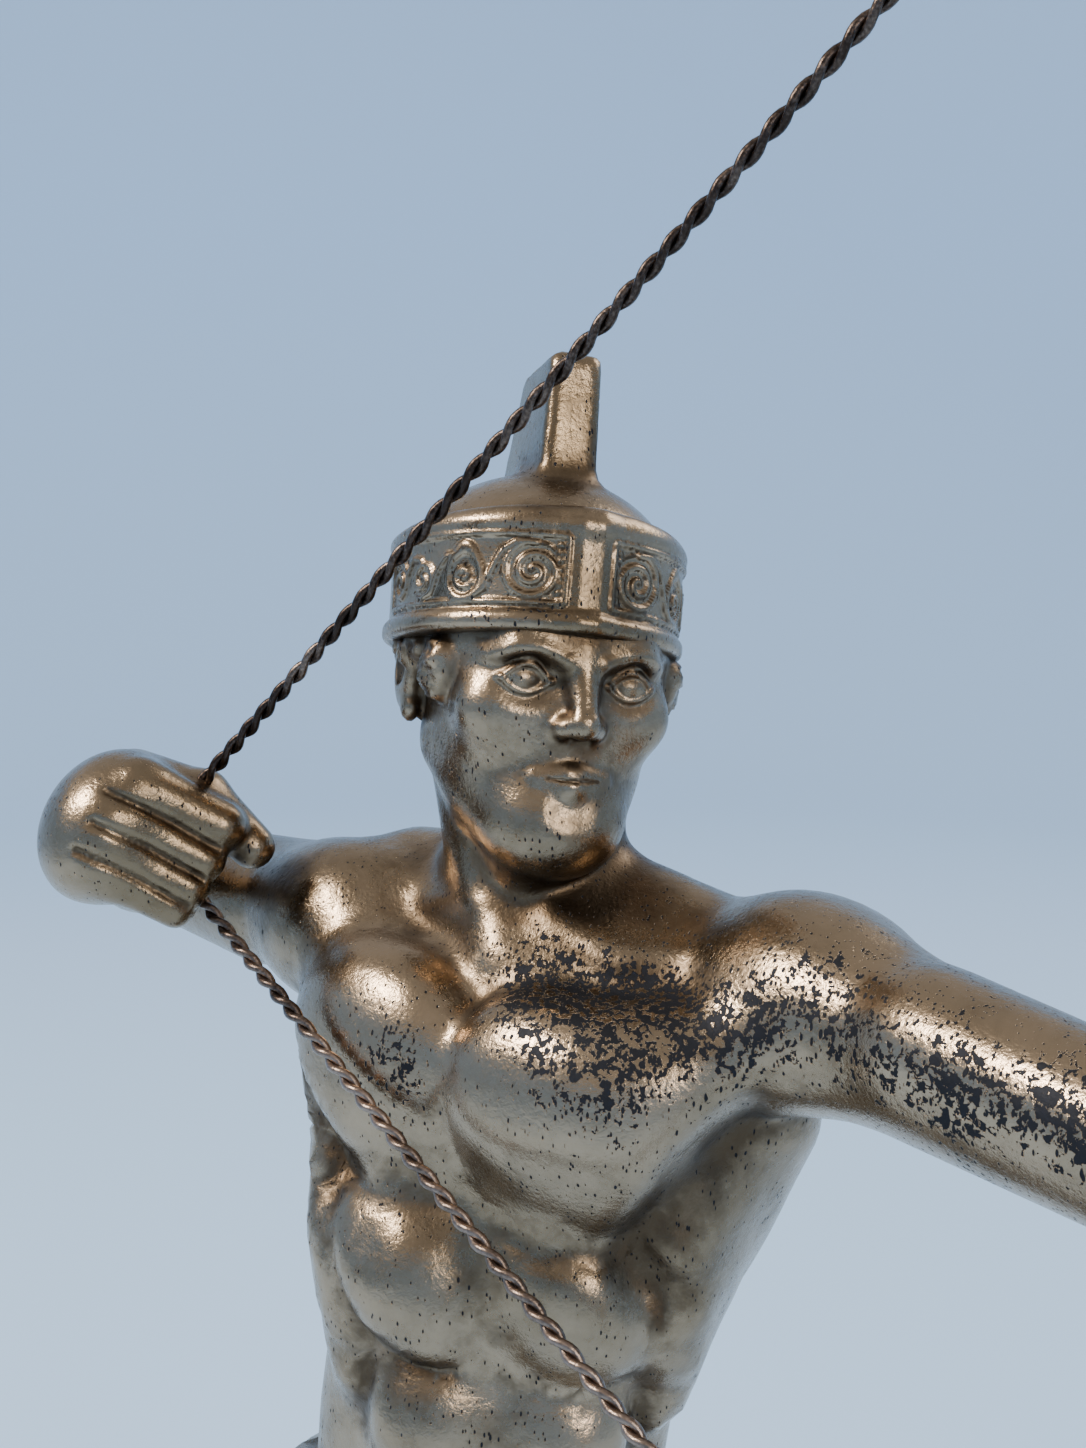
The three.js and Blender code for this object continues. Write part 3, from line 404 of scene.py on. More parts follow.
def eyelid(rise: float) -> list[tuple[float, float]]:
    """The places along one edge of the left eyelid.

    Args:
        rise: how far its middle lies above the corners of the eye.

    Returns:
        The places across and up, in the head's own axes.
    """
    steps = [i / 4 for i in range(-4, 5)]
    return [(EYE[0] + EYE_HALF * t, EYE[1] + rise * (1 - t * t)) for t in steps]


def head_mass() -> Mass:
    """The head. Own axes: x to the figure's left, y to the back, z to the crown."""
    mass = Mass(HEAD, (0.04, 0.13, 0.99), HEAD_BACK, 24, 0.8)
    mass.add(Egg((0, 1, 2), (8, 9.5, 8.4)))
    mass.add(Egg((0, -2.6, -3.6), (6.1, 6.2, 8.3)), 2.4)
    mass.add(Egg((0, -6.6, -9.4), (2.9, 2.5, 2.5)), 2.6)
    mass.both(lambda s: Limb((s * 4.5, 0.8, -6.2), (s * 1.7, -5, -9.5), 1.8, 1.8), 3.2)
    mass.both(lambda s: Egg((s * 4.1, -6, -3.2), (2, 1.7, 1.7)), 2)
    mass.add(Limb((-3, -7.1, 0.9), (3, -7.1, 0.9), 1.3, 1.3), 1.8)
    mass.cut_both(lambda s: Egg((s * 3.1, -9.2, -1.2), (1.9, 1.5, 1.3)), 1.1)
    mass.both(lambda s: Egg((s * 3.1, -7, -1.25), (1.35, 1.15, 1.05)), 0.3)
    mass.crease_both(eyelid(0.85), 0.2, -0.26)
    mass.crease_both(eyelid(1.35), 0.16, 0.12)
    mass.crease_both(eyelid(-0.75), 0.17, -0.16)
    mass.crease_both(((1.2, 0), (2.6, 0.5), (4, 0.45), (5.2, -0.1)), 0.5, -0.26)
    mass.add(Limb((0, -8.4, 0.4), (0, -9.7, -3.1), 0.62, 0.78), 1)
    mass.add(Egg((0, -9.75, -3.5), (0.82, 0.85, 0.72)), 0.5)
    mass.both(lambda s: Egg((s * 0.92, -8.8, -3.7), (0.62, 0.9, 0.6)), 0.7)
    mass.cut_both(lambda s: Egg((s * 0.5, -9.3, -4.35), (0.24, 0.42, 0.24)), 0.25)
    mass.both(lambda s: Limb((s * 0.35, -8.75, -6.2), (s * 2, -8.1, -6.5), 0.36, 0.2), 0.6)
    mass.both(lambda s: Limb((0, -8.75, -7.05), (s * 1.7, -8.15, -6.8), 0.45, 0.2), 0.6)
    mass.both(lambda s: Limb((0, -8.6, -6.5), (s * 1.9, -8.05, -6.6), 0.3, 0.2), 0.5)
    for a, b in zip(MOUTH, MOUTH[1:]):
        mass.cut_both(lambda s: Limb((s * a[0], a[1], a[2]), (s * b[0], b[1], b[2]), 0.1, 0.1), 0.2)
    mass.cut(Limb((0, -9.3, -4.9), (0, -9.35, -5.6), 0.12, 0.14), 0.3)
    mass.add(Egg((0, -7.1, -9.7), (2, 1.3, 1.5)), 3.2)
    mass.cut(Limb((-0.5, -10.2, -8.2), (0.5, -10.2, -8.2), 0.4, 0.4), 1.4)
    mass.both(lambda s: Egg((s * 7.6, 1.7, -1.8), (0.8, 2, 2.8), (12, 0, 0)), 0.5)
    mass.cut_both(lambda s: Egg((s * 8.3, 1.5, -1.4), (0.5, 1.1, 1.5)), 0.3)
    mass.both(lambda s: Egg((s * 7.5, 0.9, -4.1), (0.6, 0.9, 1)), 0.3)
    return mass


# Each lock at a temple: its middle (back, up), its size and the angle where it starts.
TEMPLE_LOCKS = (
    ((-3.6, -0.6), 0.75, 40), ((-2.2, -1.6), 0.8, 120), ((-0.9, -0.5), 0.75, 20),
    ((-3.1, -2.6), 0.6, 200), ((0.7, -1.1), 0.7, 90), ((2.3, -0.7), 0.75, 30),
    ((3.8, -1.3), 0.75, 150))


def temple_curls() -> Mass:
    """Short locks of hair that show below the helmet's rim, at the temples and behind."""
    mass = Mass(HEAD, (0.04, 0.13, 0.99), HEAD_BACK, 24, 0.6)
    mass.both(lambda s: Egg((s * 6.3, -2.2, -1.2), (1.3, 2.5, 2.1), (0, 0, s * 14)), 0.6)
    mass.both(lambda s: Egg((s * 6.9, 1.2, -0.4), (1.5, 3, 1.5)), 0.6)
    mass.add(Egg((0, 6.2, -2.2), (6.4, 4.6, 4)), 0.8)
    for side in (1, -1):
        for middle, radius, start in TEMPLE_LOCKS:
            mass.crease(hook(middle, radius, start), 0.28, -0.42, (0, side))
    for lock in range(13):
        across = -5.4 + 0.9 * lock
        bend = 0.35 * math.sin(2.3 * lock)
        line = ((across, 1), (across + bend, -1.6), (across * 0.92 - bend, -4.2))
        mass.crease(line, 0.3, -0.28, (1, 1))
    return mass


def upper_arm(start: Spot, end: Spot, back: Spot, bulk: float) -> Mass:
    """An upper arm with its shoulder cap, biceps and triceps."""
    length = span(start, end)
    mass = Mass(start, between(start, end), back, length + 11, 1.8)
    mass.add(Limb((0, 0, 0), (0, 0, length), 4.5 * bulk, 3.5 * bulk))
    mass.add(Egg((0, -0.2, 1.2), (5.3, 5.4, 6.6)), 2.6)
    biceps = Limb(
        (0, -1.7 * bulk, 0.34 * length), (0, -1.4 * bulk, 0.76 * length), 3.1 * bulk, 2.4 * bulk)
    triceps = Limb(
        (0, 1.9 * bulk, 0.26 * length), (0, 1.2 * bulk, 0.72 * length), 3.1 * bulk, 2.3 * bulk)
    mass.add(biceps, 1.6).add(triceps, 1.6)
    mass.add(Egg((0, 2.2, length), (1.9, 1.9, 2.2)), 1.6)
    return mass


def fore_arm(start: Spot, end: Spot, back: Spot, thumb: int) -> Mass:
    """A forearm with the muscles of its two sides."""
    length = span(start, end)
    mass = Mass(start, between(start, end), back, length + 11, 1.2)
    mass.add(Limb((0, 0, 0), (0, 0, length), 3.6, 2.5))
    mass.add(Limb((thumb * 1.5, -0.6, -1), (thumb * 0.8, -0.3, 0.6 * length), 2.5, 1.7), 1.4)
    mass.add(Limb((-thumb * 1.4, -0.4, 1), (-thumb * 0.6, -0.3, 0.62 * length), 2.6, 1.8), 1.4)
    mass.add(Egg((0, 0, length), (2.9, 2.2, 2.4)), 1.2)
    return mass


# Each finger: how far it lies across, its thickness and how far its knuckle reaches.
FINGERS = ((2.6, 1.2, 0), (0.5, 0.95, 0.3), (-1.25, 0.9, 0.15), (-2.75, 0.75, -0.25))


def fist(origin: Spot, up: Spot, back: Spot, reach: float, size: float, thumb: int) -> Mass:
    """A closed fist. Own axes: z to the knuckles, y to the back of the hand."""
    mass = Mass(origin, up, back, reach, 0.8, size)
    mass.add(Limb((0, 0, -2), (0, -0.4, 3), 2.5, 2.7))
    mass.add(Block((0, -0.9, 4.6), (3.7, 2, 4.2), 1.5), 1.2)
    mass.add(Egg((-0.2 * thumb, -0.1, 5.8), (4.5, 3.5, 4.4)), 1.4)
    mass.add(Block((0.2 * thumb, -2.8, 6.8), (3.7, 3.4, 2.9), 1.5), 0.8)
    for across, thick, reach_out in FINGERS:
        x = thumb * across
        mass.add(Limb(
            (x, -0.2, 8.3 + reach_out), (x, -5.3, 8.7 + reach_out), thick * 1.12, thick * 1.08), 0.7)
        mass.add(Limb((x, -5.4, 8.6 + reach_out), (x, -6, 6), thick * 0.95, thick * 0.85), 0.5)
    for groove in (1.4, -0.4, -2.1):
        line = ((groove, 1.2), (groove + 0.12, -2), (groove - 0.1, -5.4))
        mass.crease([(thumb * across, back) for across, back in line], 0.24, 0.3, (2, 1))
    mass.add(Limb((thumb * 2.8, -0.8, 3.4), (thumb * 3.7, -4, 6.4), 1.9, 1.5), 1)
    mass.add(Limb((thumb * 3.7, -4, 6.4), (thumb * 2.4, -7.6, 7.8), 1.5, 1.3), 0.5)
    return mass


def pelvis_mass() -> Mass:
    """Hips, seat and lower belly."""
    mass = Mass(PELVIS, (0.03, -0.02, 1), PELVIS_BACK, 30, 2.2)
    mass.add(Egg((0, 0.6, 2), (15.6, 10.6, 10)))
    mass.both(lambda s: Egg((s * 6.6, 6, -3.6), (7.4, 6, 7.6)), 2.4)
    mass.add(Egg((0, -2, 11), (12.4, 8.4, 9)), 3)
    mass.both(lambda s: Limb((s * 10.6, -3.4, 9.4), (s * 13, 1.4, 8), 2.2, 2.4), 2)
    return mass


def thigh(start: Spot, end: Spot, side: Side) -> Mass:
    """A thigh with its front and back muscles and the kneecap."""
    length = span(start, end)
    mass = Mass(start, between(start, end), (0, 1, 0), length + 11, 2.2)
    mass.add(Limb((0, 0, 0), (0, 0, length), 8.8, 5.5))
    mass.add(Limb((0, -2, 0.2 * length), (0, -1.8, 0.72 * length), 6.4, 4.2), 2.5)
    mass.add(Limb((0, 2, 0.15 * length), (0, 1.4, 0.7 * length), 5.8, 3.4), 2.5)
    mass.add(Egg((-side.value * 2.2, -1.6, 0.84 * length), (2.8, 2.6, 4.4)), 1.8)
    mass.add(Egg((side.value * 2.4, -1.4, 0.78 * length), (2.6, 2.6, 4.8)), 1.8)
    mass.add(Egg((0, -3.2, length), (2.6, 2.3, 3)), 1.4)
    return mass


def shank(start: Spot, end: Spot) -> Mass:
    """A lower leg with its calf, shin and ankle bones."""
    length = span(start, end)
    mass = Mass(start, between(start, end), (0, 1, 0), length + 11, 1.6)
    mass.add(Limb((0, 0, 0), (0, 0, length), 5, 3.2))
    mass.both(lambda s: Egg((s * 1.9, 2.4, 0.26 * length), (3.6, 3.6, 9)), 2)
    mass.add(Limb((0, -2, 0.06 * length), (0, -1.2, 0.9 * length), 2.2, 1.9), 1.6)
    mass.both(lambda s: Egg((s * 2.7, 0.2, length), (1.4, 1.6, 1.9)), 1)
    mass.add(Limb((0, 2.6, 0.62 * length), (0, 2.8, length), 1.7, 1.4), 1.6)
    return mass


# Each toe: how far it lies across, its thickness and where its tip is.
TOES = (
    (-2.9, 1.35, -17.4), (-0.9, 1, -17.2), (0.7, 0.95, -16.4), (2.2, 0.9, -15.4), (3.5, 0.85, -14))


def foot(origin: Spot, back: Spot, side: Side) -> Mass:
    """A bare foot. Own axes: y to the heel, so the toes point to -y, z up."""
    mass = Mass(origin, (0, 0, 1), back, 24, 1.4)
    mass.add(Limb((0, 0, 0), (0, 2.2, -4.6), 3.4, 3.5))
    mass.add(Limb((0, 1, -3.4), (side.value * 0.4, -10.5, -6.6), 3.6, 2.4), 2)
    mass.add(Egg((side.value * 0.4, -9.6, -7.2), (4.6, 6.2, 2.4)), 1.6)
    mass.add(Egg((0, 3.4, -6.8), (3.2, 3.4, 2.6)), 1.4)
    for across, thick, tip in TOES:
        x = side.value * across
        mass.add(Limb((x * 0.9, -11.6, -7.4), (x, tip, -8), thick, thick * 0.95), 0.4)
    return mass


def body_masses() -> list[Mass]:
    """The flesh of the figure, its head and its hands, in the order in which they melt."""
    return [
        chest_mass(), neck_mass(), pelvis_mass(),
        upper_arm(SHOULDER_R, ELBOW_R, (0.1, 0.9, 0.4), 1),
        upper_arm(SHOULDER_L, ELBOW_L, (0.2, 0.7, -0.7), 1.09),
        fore_arm(ELBOW_R, WRIST_R, (-0.2, -0.5, 0.8), 1),
        fore_arm(ELBOW_L, WRIST_L, (-0.1, 0.8, -0.5), -1),
        thigh(HIP_L, KNEE_L, Side.LEFT), thigh(HIP_R, KNEE_R, Side.RIGHT),
        shank(KNEE_L, ANKLE_L), shank(KNEE_R, ANKLE_R),
        foot(ANKLE_L, (-0.62, 0.78, 0), Side.LEFT), foot(ANKLE_R, (0.3, 0.95, 0), Side.RIGHT),
    ]


def hard_masses() -> list[Mass]:
    """What meets the flesh with a crease: head, curls and fists."""
    return [
        head_mass(), temple_curls(),
        fist(WRIST_R, (0.878, -0.448, 0.156), (-0.457, -0.708, 0.523), 19, 1.1, 1),
        fist(WRIST_L, (0.97, -0.12, 0.2), (0.12, 0.99, 0.04), 17, 1, -1),
    ]


SKIN_SOFT = 2.0


def melted(flesh: Sequence[Mass], hard: Sequence[Mass]) -> Form:
    """One distance for several masses.

    Args:
        flesh: masses that run into each other softly.
        hard: masses that keep their own, sharper fillet.

    Returns:
        The distance of life points; the soles are flat at height zero.
    """
    def distance(p: Array) -> Array:
        d = np.full(len(p), 1e3)
        for mass in flesh:
            d = melt(d, mass(p), SKIN_SOFT)
        for mass in hard:
            d = melt(d, mass(p), mass.soft)
        return np.maximum(d, -p[:, 2])
    return distance


def slope(distance: Form, p: Array, step: float = 0.02) -> tuple[Array, Array]:
    """The distance's gradient and the distance, from four samples round each point."""
    corners = np.array([(1, -1, -1), (-1, -1, 1), (-1, 1, -1), (1, 1, 1)], float)
    samples = np.stack([distance(p + corner * step) for corner in corners])
    return samples.T @ corners / (4 * step), samples.mean(axis=0)


# Volutes of the band, from its front backwards: place along and up, size, turns and hand.
VOLUTES = (
    (2.96, 3.3, 1.6, 2.1, 1), (6.96, 3.0, 0.62, 1.2, -1),
    (10.4, 3.0, 1.05, 1.6, 1), (13.4, 3.1, 1.2, 1.7, -1))

# Stems that join the volutes of the band, from its front backwards: place along and up.
STEMS = (
    ((2.9, 4.9), (3.9, 4.95), (4.7, 4.4), (5.2, 3.4), (5.7, 2.3), (6.4, 1.8)),
    ((7.3, 4.3), (8.3, 4.2), (9, 3.4), (9.5, 2.2), (10.3, 1.95)),
    ((10.6, 4.1), (11.6, 4.3), (12.3, 3.3)),
)


@dataclass(frozen=True)
class HelmetBand:
    """The helmet's upright band with its front ridge and the ornament in low relief.

    Own axes: x to the figure's left, -y to the front, z up.
    """

    half_x: float = 8.6
    half_y: float = 10.2
    middle_y: float = 0.6
    height: float = 6.5
    relief: float = 0.2

    def aside(self, p: Array) -> Array:
        """How far a point is outside the band's plain wall."""
        x, y = p[:, 0], p[:, 1]
        ridge = np.where(y < 0, 0.4 * np.clip(1.5 - np.abs(x) / 1.3, 0, 1), 0)
        return (np.hypot(x / self.half_x, (y - self.middle_y) / self.half_y) - 1) * 9.3 - ridge

    def ornament(self, p: Array) -> Array:
        """Height of the ornament, from 0 on the ground of the panels to 1."""
        s = np.abs(np.arctan2(p[:, 0], self.middle_y - p[:, 1]) * 9.6)
        z = p[:, 2]
        out = np.zeros(len(p))

        def stroke(away: Array, width: float, top: float = 1.0) -> None:
            np.maximum(out, top * np.sqrt(np.clip(1 - (away / width) ** 2, 0, 1)), out=out)

        for centre, level, size, turns, hand in VOLUTES:
            u, v = s - centre, (z - level) * hand
            r = np.hypot(u, v)
            gap = size / turns
            winding = r / gap - np.arctan2(v, u) / (2 * math.pi)
            off = np.abs(winding - np.round(winding)) * gap
            stroke(np.where(r < size + 0.12, off, 9), 0.2)
        leaf = np.hypot((s - 6.96) / 1.15, (z - 3.0) / 1.25 * (1 - 0.14 * np.clip(z - 3, 0, 2)))
        stroke(np.abs(leaf - 1) * 1.15, 0.22)
        for stem in STEMS:
            for start, end in zip(stem, stem[1:]):
                run = np.array(end, float) - start
                along = (s - start[0]) * run[0] + (z - start[1]) * run[1]
                along = np.clip(along / (run @ run), 0, 1)
                stroke(np.hypot(s - start[0] - along * run[0], z - start[1] - along * run[1]), 0.2)
        for level in (1.6, 5.35):
            stroke(np.where((s > 1.2) & (s < 15), np.abs(z - level), 9), 0.17, 0.8)
        for end in (1.25, 15):
            stroke(np.where((z > 1.6) & (z < 5.35), np.abs(s - end), 9), 0.17, 0.8)
        beads = np.hypot(s - 1.6, (z + 0.22) % 0.44 - 0.22)
        stroke(np.where((z > 1.8) & (z < 5.2), beads, 9), 0.17, 0.5)
        return out

    def profile(self, z: Array) -> Array:
        """How far the wall stands out at a height: a flat roll below, a panel, a soft top."""
        roll = 0.42 * np.exp(-(((z - 0.55) / 0.62) ** 4))
        shoulder = 0.2 * np.exp(-(((z - self.height + 0.5) / 0.6) ** 2))
        return roll + shoulder + 0.03 * z

    def __call__(self, p: Array) -> Array:
        """Distance of points from the band."""
        z = p[:, 2]
        wall = self.aside(p) - self.profile(z) - self.relief * self.ornament(p)
        top = self.height + 0.7 * np.clip(-p[:, 1] / 9, 0, 1)
        return carve(carve(wall, top - z, 0.9), z, 0.5)

    def rough(self, shape: bmesh.types.BMesh, place: Matrix) -> None:
        """Adds an oval drum to a rough mesh."""
        oval = Matrix.Diagonal((self.half_x, self.half_y, 1, 1))
        own = Matrix.Translation((0, self.middle_y, self.height / 2)) @ oval
        bmesh.ops.create_cone(
            shape, cap_ends=True, segments=48, radius1=1, radius2=1, depth=self.height,
            matrix=place @ own)


@dataclass(frozen=True)
class Fin:
    """The upright fin on the helmet, which tapers upwards at its back."""

    top: float = 17.4
    foot: float = 8.4
    front: float = -4.9
    back: float = 5.6
    half: float = 1.75
    rounding: float = 0.6

    def __call__(self, p: Array) -> Array:
        """Distance of points from the fin."""
        x, y, z = p.T
        high = (z - self.foot) / (self.top - self.foot)
        q = np.stack([
            np.abs(x) - self.half + 0.2 * high,
            self.front - y,
            y - self.back + 4.2 * high,
            z - self.top,
        ]) + self.rounding
        inside = np.minimum(q.max(axis=0), 0)
        ends = np.maximum(q[1], q[2])
        sides = sum(np.maximum(away, 0) ** 2 for away in (q[0], ends, q[3]))
        return np.maximum(np.sqrt(sides) + inside - self.rounding, self.foot - 2 - z)

    def rough(self, shape: bmesh.types.BMesh, place: Matrix) -> None:
        """Adds a box to a rough mesh."""
        middle = (0, (self.front + self.back) / 2 - 0.6, (self.top + self.foot) / 2)
        size = Matrix.Diagonal((2 * self.half, self.back - self.front - 1, self.top - self.foot, 1))
        bmesh.ops.create_cube(shape, size=1, matrix=place @ Matrix.Translation(middle) @ size)


def helmet_mass() -> Mass:
    """The helmet: a low dome, an upright band with a rolled rim, and a fin."""
    band = HelmetBand()
    mass = Mass((-0.5, -0.2, 164.8), (-0.097, 0.241, 0.965), HEAD_BACK, 26, 0.4)
    mass.add(Egg((0, 0.6, 4.2), (8.3, 10, 6.6)))
    mass.cut(Block((0, 0, -12), (20, 20, 12), 0.2), 0.3)
    mass.add(band, 0.25)
    mass.add(Fin(), 1)
    return mass


@dataclass(frozen=True)
class Skirt:
    """A short cloth wound round the hips, widening downwards in flutes.

    Its rolled top edge is high at the figure's right and falls to its left.
    """

    top: float = 14
    tilt: float = 4
    hem: float = -17
    flutes: int = 15

    def half_at(self, z: Array) -> tuple[Array, Array, Array]:
        """Half width, half depth and how far down the cloth a height is."""
        down = np.clip((self.top + self.tilt - z) / (self.top + self.tilt - self.hem), 0, 1)
        return 12.4 + 7 * down, 9.6 + 4.6 * down, down

    def top_at(self, x: Array) -> Array:
        """Height of the top edge."""
        return self.top - self.tilt * x / 13

    def __call__(self, p: Array) -> Array:
        """Distance of points from the cloth, filled to its middle."""
        x, y, z = p.T
        half_x, half_y, down = self.half_at(z)
        angle = np.arctan2(y, x)
        wave = np.cos(self.flutes * angle + 2.4 * np.sin(2 * angle) + 0.9 * down)
        fine = np.cos(2 * self.flutes * angle + 3 * np.sin(angle) + 2 * down)
        flute = 0.75 * down * wave + 0.22 * down * fine
        below = self.top_at(x) - z
        pleat = 0.32 * np.cos(below * 3.4) * np.exp(-0.32 * np.clip(below, 0, 20))
        shell = (np.hypot(x / half_x, y / half_y) - 1) * (half_x + half_y) * 0.5 - flute - pleat
        hem = self.hem + 1.2 * np.sin(2 * angle + 0.6) + 0.35 * wave
        return np.maximum(np.maximum(shell, -below), hem - z)

    def rough(self, shape: bmesh.types.BMesh, place: Matrix) -> None:
        """Adds a drum that widens downwards to a rough mesh."""
        oval = Matrix.Diagonal((1, 0.74, 1, 1))
        own = Matrix.Translation((0, 0, (self.top + self.hem) / 2)) @ oval
        bmesh.ops.create_cone(
            shape, cap_ends=True, segments=64, radius1=19.4, radius2=12.6,
            depth=self.top - self.hem, matrix=place @ own)


@dataclass(frozen=True)
class SkirtEdge:
    """The rolled top edge of the cloth."""

    skirt: Skirt
    radius: float = 1.1

    def __call__(self, p: Array) -> Array:
        """Distance of points from the edge."""
        x, y, z = p.T
        level = self.skirt.top_at(x)
        half_x, half_y, _ = self.skirt.half_at(level)
        ring = (np.hypot(x / half_x, y / half_y) - 1) * (half_x + half_y) * 0.5
        return np.hypot(ring, z - level) - self.radius


def cloth_mass() -> Mass:
    """The cloth with its two hanging ends."""
    skirt = Skirt()
    mass = Mass(PELVIS, (0.03, -0.02, 1), PELVIS_BACK, 34, 0.9)
    mass.add(skirt, 0.6)
    mass.add(SkirtEdge(skirt), 0.5)
    mass.add(Limb((9, -10.8, 9), (10.6, -13, -12), 2, 2.8), 0.7)
    mass.add(Limb((12, -8.6, 8), (14.6, -10.4, -15), 1.6, 2.2), 0.7)
    return mass


def new_piece(name: str, shape: bmesh.types.BMesh) -> bpy.types.Object:
    """Puts a shape into the scene as an object of its own, and frees the shape."""
    mesh = bpy.data.meshes.new(name)
    shape.to_mesh(mesh)
    shape.free()
    piece = bpy.data.objects.new(name, mesh)
    bpy.context.collection.objects.link(piece)
    return piece


@dataclass
class Sculpture:
    """A mesh that is drawn onto a distance form.

    Args of the fields:
        name: the piece's name.
        masses: what gives the rough shape, in life centimetres.
        distance: the form that the mesh ends up on.
        everything: the distance of the whole casting, for its hollows.
        cell: size of the rough mesh's faces, in metres.
        finer: one region for each time that its faces are split.
    """

    name: str
    masses: Sequence[Mass]
    distance: Form
    everything: Form
    cell: float
    finer: Sequence[Callable[[Array], Array]] = ()

    def rough_mesh(self) -> bmesh.types.BMesh:
        """Joins the masses' own shapes and gives them one even skin."""
        rough = bmesh.new()
        for mass in self.masses:
            own = bmesh.new()
            mass.rough(own)
            lump = bpy.data.meshes.new("lump")
            own.to_mesh(lump)
            own.free()
            rough.from_mesh(lump)
            bpy.data.meshes.remove(lump)
        scale = Matrix.Diagonal((METRES_PER_LIFE_CM,) * 3 + (1,))
        place = Matrix.Translation((0, 0, PLINTH_HEIGHT)) @ scale
        bmesh.ops.transform(rough, matrix=place, verts=rough.verts)
        holder = new_piece(self.name, rough)
        mesh = holder.data
        remesh = holder.modifiers.new("skin", "REMESH")
        remesh.mode = "VOXEL"
        remesh.voxel_size = self.cell
        even = bmesh.new()
        even.from_object(holder, bpy.context.evaluated_depsgraph_get())
        bpy.data.objects.remove(holder)
        bpy.data.meshes.remove(mesh)
        return even

    @staticmethod
    def places(shape: bmesh.types.BMesh) -> Array:
        """The corners of a mesh in life centimetres."""
        return to_life([v.co[:] for v in shape.verts])

    def draw(self, shape: bmesh.types.BMesh, rounds: int) -> None:
        """Moves each corner along the slope until it lies on the form."""
        p = self.places(shape)
        for _ in range(rounds):
            lean, away = slope(self.distance, p)
            steep = np.maximum((lean**2).sum(axis=1), 0.25)
            p -= lean * (np.clip(away, -1, 1) / steep)[:, None]
        for vert, place in zip(shape.verts, to_part(p)):
            vert.co = place

    def build(self) -> bpy.types.Object:
        """Makes the piece, with its hollows and edges kept as attributes."""
        shape = self.rough_mesh()
        self.draw(shape, 3)
        for region in [None, *self.finer]:
            if region is not None:
                inside = region(self.places(shape))
                shape.verts.ensure_lookup_table()
                shape.verts.index_update()
                edges = [e for e in shape.edges if all(inside[v.index] for v in e.verts)]
                bmesh.ops.subdivide_edges(shape, edges=edges, cuts=1, use_grid_fill=True)
                self.draw(shape, 1)
            bmesh.ops.smooth_vert(
                shape, verts=shape.verts, factor=0.5,
                use_axis_x=True, use_axis_y=True, use_axis_z=True)
            self.draw(shape, 1)
        self.draw(shape, 1)
        for face in shape.faces:
            face.smooth = True
        p = self.places(shape)
        piece = new_piece(self.name, shape)
        self.mark(piece.data, p)
        triangles = sum(len(face.vertices) - 2 for face in piece.data.polygons)
        LOG.info("%s: %d triangles", self.name, triangles)
        return piece

    def mark(self, mesh: bpy.types.Mesh, p: Array) -> None:
        """Keeps how hollow and how sharp each place is, and where the silver is eaten."""
        lean, _ = slope(self.everything, p)
        out = lean / np.maximum(np.linalg.norm(lean, axis=1), 1e-6)[:, None]
        # How closed in each place is by the whole casting; the metal paints shade into the hollows
        # from it.
        hollow = sum(1 - self.everything(p + out * far) / far for far in (0.5, 1.4, 3.5)) / 3
        edge = 1 + self.everything(p - out * 0.7) / 0.7
        marks = {"hollow": hollow, "edge": edge, "eaten": felt(p, EATEN), "bronze": felt(p, BRONZE_AND_SHADE)}
        for name, values in marks.items():
            layer = mesh.attributes.new(name, "FLOAT", "POINT")
            layer.data.foreach_set("value", np.clip(values, 0, 1).astype(np.float32))


Patch = tuple[Array, Array, float]


def patches(*rows: tuple[Spot, Spot, float]) -> tuple[Patch, ...]:
    """Soft-edged patches, from their places, sizes and strengths in life centimetres."""
    return tuple(
        (np.array(spot, float), np.array(size, float), weight) for spot, size, weight in rows)


def felt(p: Array, marks: Sequence[Patch]) -> Array:
    """How strong a set of patches is at each point."""
    return sum(
        weight * np.exp(-(((p - spot) / size) ** 2).sum(axis=1)) for spot, size, weight in marks)


# Where the silver is eaten away.
EATEN = patches(
    ((7.4, -9.2, 147.6), (4.4, 5, 2.4), 1.0),
    ((13, -7.4, 147), (4, 5, 2.4), 1.0),
    ((18.2, -5.9, 147.4), (3.4, 5, 2.2), 0.95),
    ((13, -11.8, 143.6), (3.2, 4, 2.6), 0.66),
    ((0.1, -14, 143), (2.8, 4, 2.8), 0.9),
    ((22.6, -4.4, 151), (5, 5, 2.4), 0.66),
    ((28.5, -9, 147.6), (6, 5, 2.2), 0.82),
    ((37, -9, 149), (7, 5, 2.6), 0.82),
    ((33, -8, 146), (12, 8, 6), 0.3),
    ((12, -9, 145), (10, 8, 7), 0.3),
    ((0.5, -8.2, 159.4), (3, 3, 4), 0.5),
    ((6, -8.6, 168), (8, 6, 0.8), 0.5),
)

# Where the silver has worn down to the bronze: fin, front of the band, fingers, right
# arm and neck. The patches on the left flank and the belly are painted shade, standing for a dark
# reflection.
BRONZE_AND_SHADE = patches(
    ((2.4, 0.4, 177), (2.6, 2.6, 6), 1.0),
    ((7.6, -5, 168), (3, 3, 4.4), 0.9),
    ((-15.9, -15.8, 152.8), (6, 4.6, 5.4), 1.0),
    ((-25, -1, 145.6), (14, 8, 6), 0.8),
    ((2, -4, 155), (7, 6, 4.6), 0.7),
    # Painted shade on the left flank and the belly.
    ((14, -4, 134), (5, 6, 8), 0.6),
    ((6, -12, 133), (6, 5, 5), 0.5),
)


